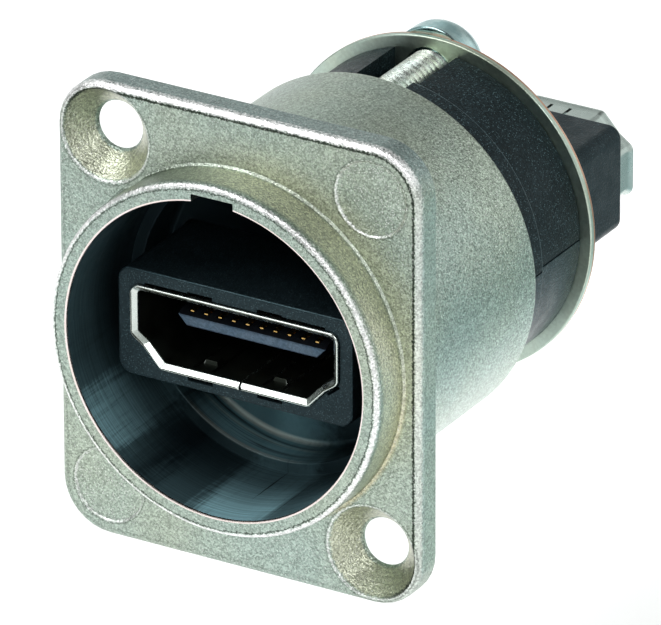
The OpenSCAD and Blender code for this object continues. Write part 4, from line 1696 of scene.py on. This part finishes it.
@dataclass
class Receptacle:
    """One end of the coupler: the folded shell and the tongue inside it.

    Its own frame has the mouth at station 0 and the tongue's wide side up.
    """

    name: str
    mouth: float
    turned_over: bool
    plate: str = "shell"
    length: float = 11.0
    wall: float = 0.33
    flare: float = 0.17
    # Station and inset from the full outline, of the sheet's outside and of its inside
    outside: Profile = (
        (0.0, 0.13), (0.03, 0.07), (0.08, 0.025), (0.15, 0.0), (0.28, 0.02), (0.45, 0.1), (0.7, 0.17)
    )
    rolled: Profile = ((-0.01, 0.19), (0.01, 0.2), (0.26, 0.44), (0.34, 0.48), (0.6, 0.5))
    finger_x: float = 2.5
    finger_w: float = 1.15
    finger_y: float = 0.6
    finger_l: float = 5.5
    slit: float = 0.22
    seam_x: float = 0.4
    seam_w: float = 0.16
    seam_notch: float = 0.13
    seam_top: float = -1.0
    dimple: Triple = (1.1, 0.9, 0.25)
    dimple_y: float = 1.4
    dimple_root: float = 0.15
    dimple_top: Pair = (0.75, 0.7)
    dimple_edge: Rounding = (0.05, 2)
    tongue_y: float = 2.2
    tongue_z: Pair = (0.45, -0.75)
    tongue_w: float = 5.3
    tongue_slant: float = 0.6
    tongue_edge: Rounding = (0.08, 3)
    # The thinned tip: how far back it starts, and the share of its height that is left
    thinned: Pair = (0.5, 0.5)
    upper: Channels = Channels(10, 0.36, 0.22, 0.55)
    lower: Channels = Channels(9, 0.77, -0.78, -0.52)
    channel_w: float = 0.46
    nose_w: float = 0.28
    nose_top: float = 0.475
    nose_end: float = 0.79
    nose_edge: float = 0.05
    socket: float = 7.2
    play: float = 0.04
    # How deep the inside stays bright behind the mouth before its painted shade, and the depth of the mouth's
    # own flat, which is painted shade too
    bright_l: float = 0.3
    flat_lip: float = 0.005
    # How much the faces of the tongue's tip with painted light lean forwards or to the rear, at least
    lean: float = 0.6
    # Heights clear of the whole shell, above and below
    aside: float = 4.0

    def place(self) -> Matrix:
        """Gives the matrix from the receptacle's own frame to the part's."""
        turn = Matrix.Rotation(math.pi if self.turned_over else 0.0, 4, "X")
        return Matrix.Translation((0.0, self.mouth, 0.0)) @ turn

    def drawn(self, y0: float, y1: float, rows: Profile) -> Form:
        """Makes a solid of the shell's outline whose size changes along its length.

        Args:
            y0: Where it starts.
            y1: Where it ends.
            rows: Station and inset from the full outline, in order from the mouth. The
                last inset is held to the end.

        Returns:
            The closed form.
        """
        held = rows[-1][1]
        form = Form.prism(*shell_outline(-held), y0, y1)
        for station, _ in rows:
            form.split(station)
        half_w, half_h = SHELL_CORNERS[4][0], (SHELL_TOP - SHELL_BOTTOM) / 2
        for i, (station, inset) in enumerate(rows):
            low = station - WELD if i else y0 - PAST
            bmesh.ops.scale(
                form.bm,
                verts=[v for v in form.bm.verts if low < v.co.y < station + WELD],
                vec=((half_w - inset) / (half_w - held), 1.0, (half_h - inset) / (half_h - held)),
                space=Matrix.Translation((0.0, 0.0, -SHELL_MIDDLE)),
            )
        return form.cleaned()

    def folded(self) -> Form:
        """Makes the plain folded sheet, its mouth flared outwards with a rolled inner edge."""
        hollow = self.drawn(-PAST, self.length + PAST, self.rolled)
        return self.drawn(0.0, self.length, self.outside).combined([hollow], Join.CUT)

    def pressed(self, x: float, upper: bool) -> Form:
        """Makes one dimple with sloping sides, pressed into the finger at x.

        Args:
            x: Where the finger lies.
            upper: Whether it is the upper one.

        Returns:
            The closed form.
        """
        width, depth, height = self.dimple
        inner = self.wall + self.flare
        z, way = (SHELL_TOP - inner, -1.0) if upper else (SHELL_BOTTOM + inner, 1.0)
        low, high = sorted((z - way * self.dimple_root, z + way * height))
        y = self.dimple_y
        form = Form.block((x - width / 2, y, low), (x + width / 2, y + depth, high))
        bmesh.ops.scale(
            form.bm,
            verts=[v for v in form.bm.verts if abs(v.co.z - z - way * height) < WELD],
            vec=(*self.dimple_top, 1.0),
            space=Matrix.Translation((-x, -y - depth / 2, 0.0)),
        )
        return form.rounded(lambda e: True, *self.dimple_edge).cleaned()

    def shell(self) -> Form:
        """Makes the folded shell with its seam, spring fingers and dimples.

        Returns:
            The closed form.
        """
        far, n, x, top = self.aside, self.seam_notch, self.seam_x, self.seam_top
        notch = Form.block((-n, -n, -far), (n, n, top)).placed(Matrix.Rotation(math.pi / 4, 4, "Z"))
        low, high = (x - self.seam_w / 2, -PAST, -far), (x + self.seam_w / 2, self.length + PAST, top)
        cuts = [Form.block(low, high), notch.shifted(x, 0.0)]
        y0, y1, half = self.finger_y, self.finger_y + self.finger_l, self.slit / 2
        for s in MIRRORED:
            x, reach = s * self.finger_x, self.finger_w / 2 + self.slit
            for side in MIRRORED:
                middle = x + side * (self.finger_w + self.slit) / 2
                cuts.append(Form.block((middle - half, y0, -far), (middle + half, y1 + self.slit, far)))
            cuts.append(Form.block((x - reach, y1, -far), (x + reach, y1 + self.slit, far)))
        form = self.folded().combined(cuts, Join.CUT)
        bumps = [self.pressed(s * self.finger_x, upper) for s in MIRRORED for upper in (False, True)]
        return form.combined(bumps, Join.ADD)

    def tongue(self) -> Form:
        """Makes the tongue, a slanted bar whose tip is thinned from both sides.

        Returns:
            The closed form.
        """
        top, bottom = self.tongue_z
        wide, narrow = self.tongue_w, self.tongue_w - self.tongue_slant
        form = Form()
        bm = form.bm
        outline = [(-wide, top), (-narrow, bottom), (narrow, bottom), (wide, top)]
        face = bm.faces.new([bm.verts.new((x, self.length - PAST, z)) for x, z in outline])
        back, left = self.thinned
        for step, (station, share) in enumerate(((self.tongue_y + back, 1.0), (self.tongue_y, left))):
            grown = bmesh.ops.extrude_face_region(bm, geom=[face])["geom"]
            if step:
                bmesh.ops.delete(bm, geom=[face], context="FACES_ONLY")
            verts = [g for g in grown if isinstance(g, bmesh.types.BMVert)]
            face = next(g for g in grown if isinstance(g, bmesh.types.BMFace))
            bmesh.ops.translate(bm, verts=verts, vec=(0.0, station - verts[0].co.y, 0.0))
            space = Matrix.Translation((0.0, 0.0, -(top + bottom) / 2))
            bmesh.ops.scale(bm, verts=verts, vec=(1.0, 1.0, share), space=space)
        tip = self.tongue_y + back / 2
        form.cleaned().rounded(lambda e: all(v.co.y < tip for v in e.verts), *self.tongue_edge)
        return form.cleaned()

    def insulator(self) -> Form:
        """Makes the back wall and the tongue, with its contact channels.

        Returns:
            The closed form.
        """
        half = self.channel_w / 2
        outline = shell_outline(-self.wall - self.flare - self.play)
        form = Form.prism(*outline, self.socket, self.length - self.play)
        form.combined([self.tongue()], Join.ADD)
        cuts = []
        for row in (self.upper, self.lower):
            for x in row.places():
                low = (x - half, self.tongue_y + row.start, row.low)
                cuts.append(Form.block(low, (x + half, self.length + PAST, row.high)))
        return form.combined(cuts, Join.CUT)

    def noses(self) -> Form:
        """Makes the rounded ends of the upper contacts, which stand up behind the tip.

        Returns:
            All ten, as one form.
        """
        row, half = self.upper, self.nose_w / 2
        start, end = self.tongue_y + row.start + self.play / 2, self.tongue_y + self.nose_end
        form = Form()
        for x in row.places():
            low, high = (x - half, start, row.low), (x + half, end, self.nose_top)
            form.beside([Form.block(low, high, self.nose_edge)])
        return form

    def inside(self, corners: list[Vector], normal: Vector) -> int:
        """Says which finish a face of the shell has: 0 bright plate, 1 painted shade inside and on the
        mouth's flat.

        Args:
            corners: The face's corners in millimetres.
            normal: Its normal.

        Returns:
            Number of the finish.
        """
        middle = sum(corners, Vector()) / len(corners)
        depth = abs(middle.y - self.mouth)
        way = -1.0 if self.turned_over else 1.0
        across = Vector((middle.x, 0.0, middle.z - way * SHELL_MIDDLE))
        near = [abs(c.y - self.mouth) for c in corners]
        if max(near) < self.flat_lip:
            return 1
        return 1 if min(near) > self.bright_l and depth < self.socket and normal.dot(across) < 0.0 else 0

    def tip(self, corners: list[Vector], normal: Vector) -> int:
        """Says which finish a face of the insulator has: 0 dark body, 1 the tongue's tip, painted lighter as
        if lit.
        """
        front = max(abs(c.y - self.mouth) for c in corners) < self.tongue_y + EDGE_REACH
        return 1 if front and abs(normal.y) > self.lean else 0

    def build(self, shop: Workshop) -> None:
        """Builds the shell and insulator and dresses the contacts.

        Args:
            shop: Gives the finishes and fits the piece.
        """
        name, place = self.name, self.place()
        shell, body, noses = (form.placed(place) for form in (self.shell(), self.insulator(), self.noses()))
        keys = (self.plate, "shell_inside")
        shop.fit(shell, f"{name}_receptacle_shell", Slot.SHELL, keys, f"{name}_shell", paint=self.inside)
        keys = ("insulator", "tongue_tip")
        shop.fit(body, f"{name}_tongue", Slot.INSULATOR, keys, f"{name}_insulator", paint=self.tip)
        shop.fit(noses, f"{name}_contact_noses", Slot.GOLD, ("gold",))
        for row in ("wide", "narrow"):
            shop.dress(f"{name}_contacts_{row}", "gold")
        shop.dress(f"{name}_board_pads", "copper")


@dataclass
class CouplerBlock:
    """The moulded block that carries both receptacles."""

    front: float = -2.4
    back: float = 31.3
    edge: Rounding = (0.14, 3)
    play: float = 0.04
    pocket_w: float = 1.8
    pocket_h: float = 0.24
    pocket_l: float = 6.0
    relief_x: Pair = (3.4, 6.5)
    relief_h: float = 0.15
    relief_l: float = 1.2
    # The slanted relief beside the shell: its sides along and across the slant, its place and its angle
    wedge_x: Pair = (-0.62, 0.5)
    wedge_h: float = 0.18
    wedge_at: Pair = (7.12, -1.3)
    wedge_turn: float = -38.0
    # The cavity of the board: half width and half height of its two steps, and where it starts and ends
    cavity: Profile = ((6.55, 0.99), (7.3, 0.45))
    cavity_y: Pair = (7.8, 24.2)
    # How little and how much the faces of an edge with the painted highlight lean forwards or to the rear
    lean: Pair = (0.3, 0.95)
    # A station ahead of both mouths, in a receptacle's own frame
    ahead: float = -5.0

    def pocket(self, receptacle: Receptacle) -> list[Form]:
        """Makes the cutters of one receptacle's pocket.

        Args:
            receptacle: The receptacle that sits in it.

        Returns:
            The cutters, in the part's frame.
        """
        end = self.back if receptacle.turned_over else self.front
        start = abs(end - receptacle.mouth)
        tools = [Form.prism(*shell_outline(self.play), self.ahead, receptacle.length)]
        top, bottom = SHELL_TOP + self.play, SHELL_BOTTOM - self.play
        half, deep, shallow = self.pocket_w / 2, start + self.pocket_l, start + self.relief_l
        for s in MIRRORED:
            x = s * receptacle.finger_x
            low = (x - half, self.ahead, bottom - self.pocket_h)
            tools.append(Form.block(low, (x + half, deep, top + self.pocket_h)))
            left, right = sorted(s * x for x in self.relief_x)
            tools.append(Form.block((left, self.ahead, 0.0), (right, shallow, top + self.relief_h)))
        left, right = self.wedge_x
        half = self.wedge_h / 2
        wedge = Form.block((left, self.ahead, -half), (right, shallow, half))
        wedge.placed(Matrix.Rotation(math.radians(self.wedge_turn), 4, "Y")).shifted(*self.wedge_at)
        return [tool.placed(receptacle.place()) for tool in [*tools, wedge]]

    def paint(self, corners: list[Vector], normal: Vector) -> int:
        """Says which finish a face has: 0 plain, 1 the painted highlight on the edge of an end.

        Args:
            corners: The face's corners in millimetres.
            normal: Its normal.

        Returns:
            Number of the finish.
        """
        ends = min(min(c.y - self.front, self.back - c.y) for c in corners) < self.edge[0]
        side, top = BLOCK[0] / 2 - EDGE_REACH, BLOCK[1] / 2 - EDGE_REACH
        outer = all(abs(c.x) > side or abs(c.z) > top for c in corners)
        return 1 if ends and outer and self.lean[0] < abs(normal.y) < self.lean[1] else 0

    def build(self, shop: Workshop, receptacles: Sequence[Receptacle]) -> None:
        """Builds the block round its receptacles.

        Args:
            shop: Gives the finishes and fits the piece.
            receptacles: Both receptacles.
        """
        form = Form.slab(*BLOCK, BLOCK_R, self.front, self.back)
        form.outline(self.front, *self.edge).outline(self.back, *self.edge)
        rib = Form.slab(BLOCK[0] + 2 * RIB_H, BLOCK[1] + 2 * RIB_H, BLOCK_R + RIB_H, *RIB)
        form.combined([rib], Join.ADD)
        tools = [tool for receptacle in receptacles for tool in self.pocket(receptacle)]
        y0, y1 = self.cavity_y
        tools += [Form.block((-w, y0, -h), (w, y1, h)) for w, h in self.cavity]
        form.combined(tools, Join.CUT)
        keys = ("navy", "worn_edge")
        shop.fit(form, "coupler_block", Slot.NAVY, keys, "adapter_body", paint=self.paint)
        shop.dress("circuit_board", "board")


# ---------------------------------------------------------------------------
# Studio
# ---------------------------------------------------------------------------


class Lobe(NamedTuple):
    """A soft bright region of the room about one direction, and the cosines where it starts and is full."""

    way: Triple
    start: float
    full: float
    strength: float


class Box(NamedTuple):
    """One soft box. Its places and its size are in metres."""

    name: str
    spot: Triple
    size: Pair
    radiance: float
    aim: Triple = (0.0, 0.0, 0.0)


class Card(NamedTuple):
    """A plain even card between two corners in millimetres, flat along one axis."""

    name: str
    low: Triple
    high: Triple
    colour: Triple


@dataclass
class Studio:
    """Pale floor, soft light and the camera of the photograph's view."""

    width_px: int = 661
    sensor_mm: float = 36.0
    clip: Pair = (0.05, 20.0)
    focal_px: float = 11345.197
    azimuth: float = 30.696
    elevation: float = 25.205
    roll: float = -0.186
    spot: Triple = (327.844, -543.041, 299.891)
    floor_z: float = -30.0
    floor_reach: float = 4000.0
    floor_tone: Triple = (0.9, 0.9, 0.9)
    glow: float = 0.45
    room: Triple = (0.97, 1.0, 0.985)
    lobes: tuple[Lobe, ...] = (
        Lobe((0.0, 0.0, 1.0), -1.0, -0.9, 0.08),
        Lobe((0.0, 1.0, 0.0), 0.1, 0.6, 0.4),
        Lobe((-1.0, 0.0, 0.0), 0.1, 0.6, 0.42),
        Lobe((1.0, 0.0, 0.0), 0.1, 0.6, 0.62),
    )
    boxes: tuple[Box, ...] = (
        Box("key_box", (-0.19, -0.206, 0.351), (0.34, 0.26), 3.8),
        Box("front_box", (0.24, -0.38, 0.28), (0.22, 0.16), 4.5),
        Box("low_box", (0.012, 0.045, -0.0295), (0.03, 0.05), 0.6, (0.012, 0.045, 0.0)),
    )
    cards: tuple[Card, ...] = (
        Card("back_card", (16.0, 75.0, -30.0), (120.0, 75.0, -2.0), (0.44, 0.56, 0.56)),
        Card("low_card", (20.0, 12.0, -29.8), (80.0, 75.0, -29.8), (0.55, 0.73, 0.75)),
    )

    def camera(self) -> None:
        """Sets the camera where the photograph was taken."""
        az, el, roll = (math.radians(a) for a in (self.azimuth, self.elevation, self.roll))
        out = Vector((math.sin(az) * math.cos(el), -math.cos(az) * math.cos(el), math.sin(el)))
        right = (-out).cross(Vector((0.0, 0.0, 1.0))).normalized()
        up = right.cross(-out)
        side = math.cos(roll) * right + math.sin(roll) * up
        top = -math.sin(roll) * right + math.cos(roll) * up
        data = bpy.data.cameras.new("photo_camera")
        data.sensor_fit = "HORIZONTAL"
        data.sensor_width = self.sensor_mm
        data.lens = self.focal_px * data.sensor_width / self.width_px
        data.clip_start, data.clip_end = self.clip
        camera = linked("photo_camera", data)
        turn = Matrix((side, top, out)).transposed().to_4x4()
        camera.matrix_world = Matrix.Translation(Vector(self.spot) * MM) @ turn
        bpy.context.scene.camera = camera

    def lamp(self, box: Box) -> None:
        """Hangs one soft box.

        Args:
            box: The box.
        """
        data = bpy.data.lights.new(box.name, "AREA")
        data.shape = "RECTANGLE"
        data.size, data.size_y = box.size
        data.energy = box.radiance * math.pi * box.size[0] * box.size[1]
        lamp = linked(box.name, data)
        turn = (Vector(box.spot) - Vector(box.aim)).to_track_quat("Z", "Y").to_matrix().to_4x4()
        lamp.matrix_world = Matrix.Translation(box.spot) @ turn
        lamp.visible_camera = False

    def world(self) -> None:
        """Fills the room with plain soft light."""
        world = bpy.data.worlds.new("studio")
        bpy.context.scene.world = world
        w = Wiring.blank(world)
        place = w.node("ShaderNodeTexCoord")["Generated"]
        total = 0.0
        for lobe in self.lobes:
            along = w.vector("DOT_PRODUCT", place, lobe.way)
            total = w.math("ADD", total, w.span(along, lobe.start, lobe.full, 0.0, lobe.strength))
        back = w.node("ShaderNodeBackground", {"Color": self.room, "Strength": total})
        w.node("ShaderNodeOutputWorld", {"Surface": back[0]})

    def sheet(self, name: str, corners: Sequence[Sequence[float]]) -> tuple[bpy.types.Object, Wiring]:
        """Lays out a flat sheet and starts its material.

        Args:
            name: Name of the sheet.
            corners: Its four corners in millimetres.

        Returns:
            The sheet and the wiring of its material.
        """
        bm = bmesh.new()
        bm.faces.new([bm.verts.new(Vector(corner) * MM) for corner in corners])
        data = bpy.data.meshes.new(name)
        bm.to_mesh(data)
        bm.free()
        material = bpy.data.materials.new(name)
        data.materials.append(material)
        return linked(name, data), Wiring.blank(material)

    def card(self, card: Card) -> None:
        """Stands a card that only reflections see.

        Args:
            card: The card.
        """
        (x0, y0, z0), (x1, y1, z1) = card.low, card.high
        corners = [(x0, y0, z0), (x1, y0, z0), (x1, y1, z1), (x0, y1, z1)]
        made, w = self.sheet(card.name, corners)
        even = w.node("ShaderNodeEmission", {"Color": card.colour, "Strength": 1.0})
        w.node("ShaderNodeOutputMaterial", {"Surface": even[0]})
        made.visible_camera = False
        made.visible_diffuse = False
        made.visible_shadow = False

    def floor(self) -> None:
        """Lays the wide white floor."""
        far, z = self.floor_reach, self.floor_z
        floor, w = self.sheet("floor", [(-far, -far, z), (far, -far, z), (far, far, z), (-far, far, z)])
        path = w.node("ShaderNodeLightPath")
        seen = w.highest(path["Is Camera Ray"], path["Is Glossy Ray"], path["Is Transmission Ray"])
        white = w.node("ShaderNodeBsdfDiffuse", {"Color": self.floor_tone})
        glow = w.node("ShaderNodeEmission", {"Color": WHITE, "Strength": w.product(seen, self.glow)})
        both = w.node("ShaderNodeAddShader", {0: white[0], 1: glow[0]})
        w.node("ShaderNodeOutputMaterial", {"Surface": both[0]})

    def build(self) -> None:
        """Sets up the whole studio."""
        self.camera()
        self.world()
        self.floor()
        for box in self.boxes:
            self.lamp(box)
        for card in self.cards:
            self.card(card)
        bpy.context.scene.view_settings.view_transform = "Standard"
        LOG.info("studio ready")


def main() -> None:
    """Builds the studio and every sub-assembly."""
    logging.basicConfig(level=logging.INFO, format="%(name)s: %(message)s")
    Studio().build()
    shop = Workshop()
    for part in (Housing(), ClampInsert(), GroundPlate(), ClampScrews()):
        part.build(shop)
    # The rear shell takes the darker copy of the plate, which paints shade
    receptacles = [Receptacle("front", -2.6, False), Receptacle("rear", 34.6, True, plate="shell_rear")]
    for receptacle in receptacles:
        receptacle.build(shop)
    CouplerBlock().build(shop, receptacles)


if __name__ == "__main__":
    main()
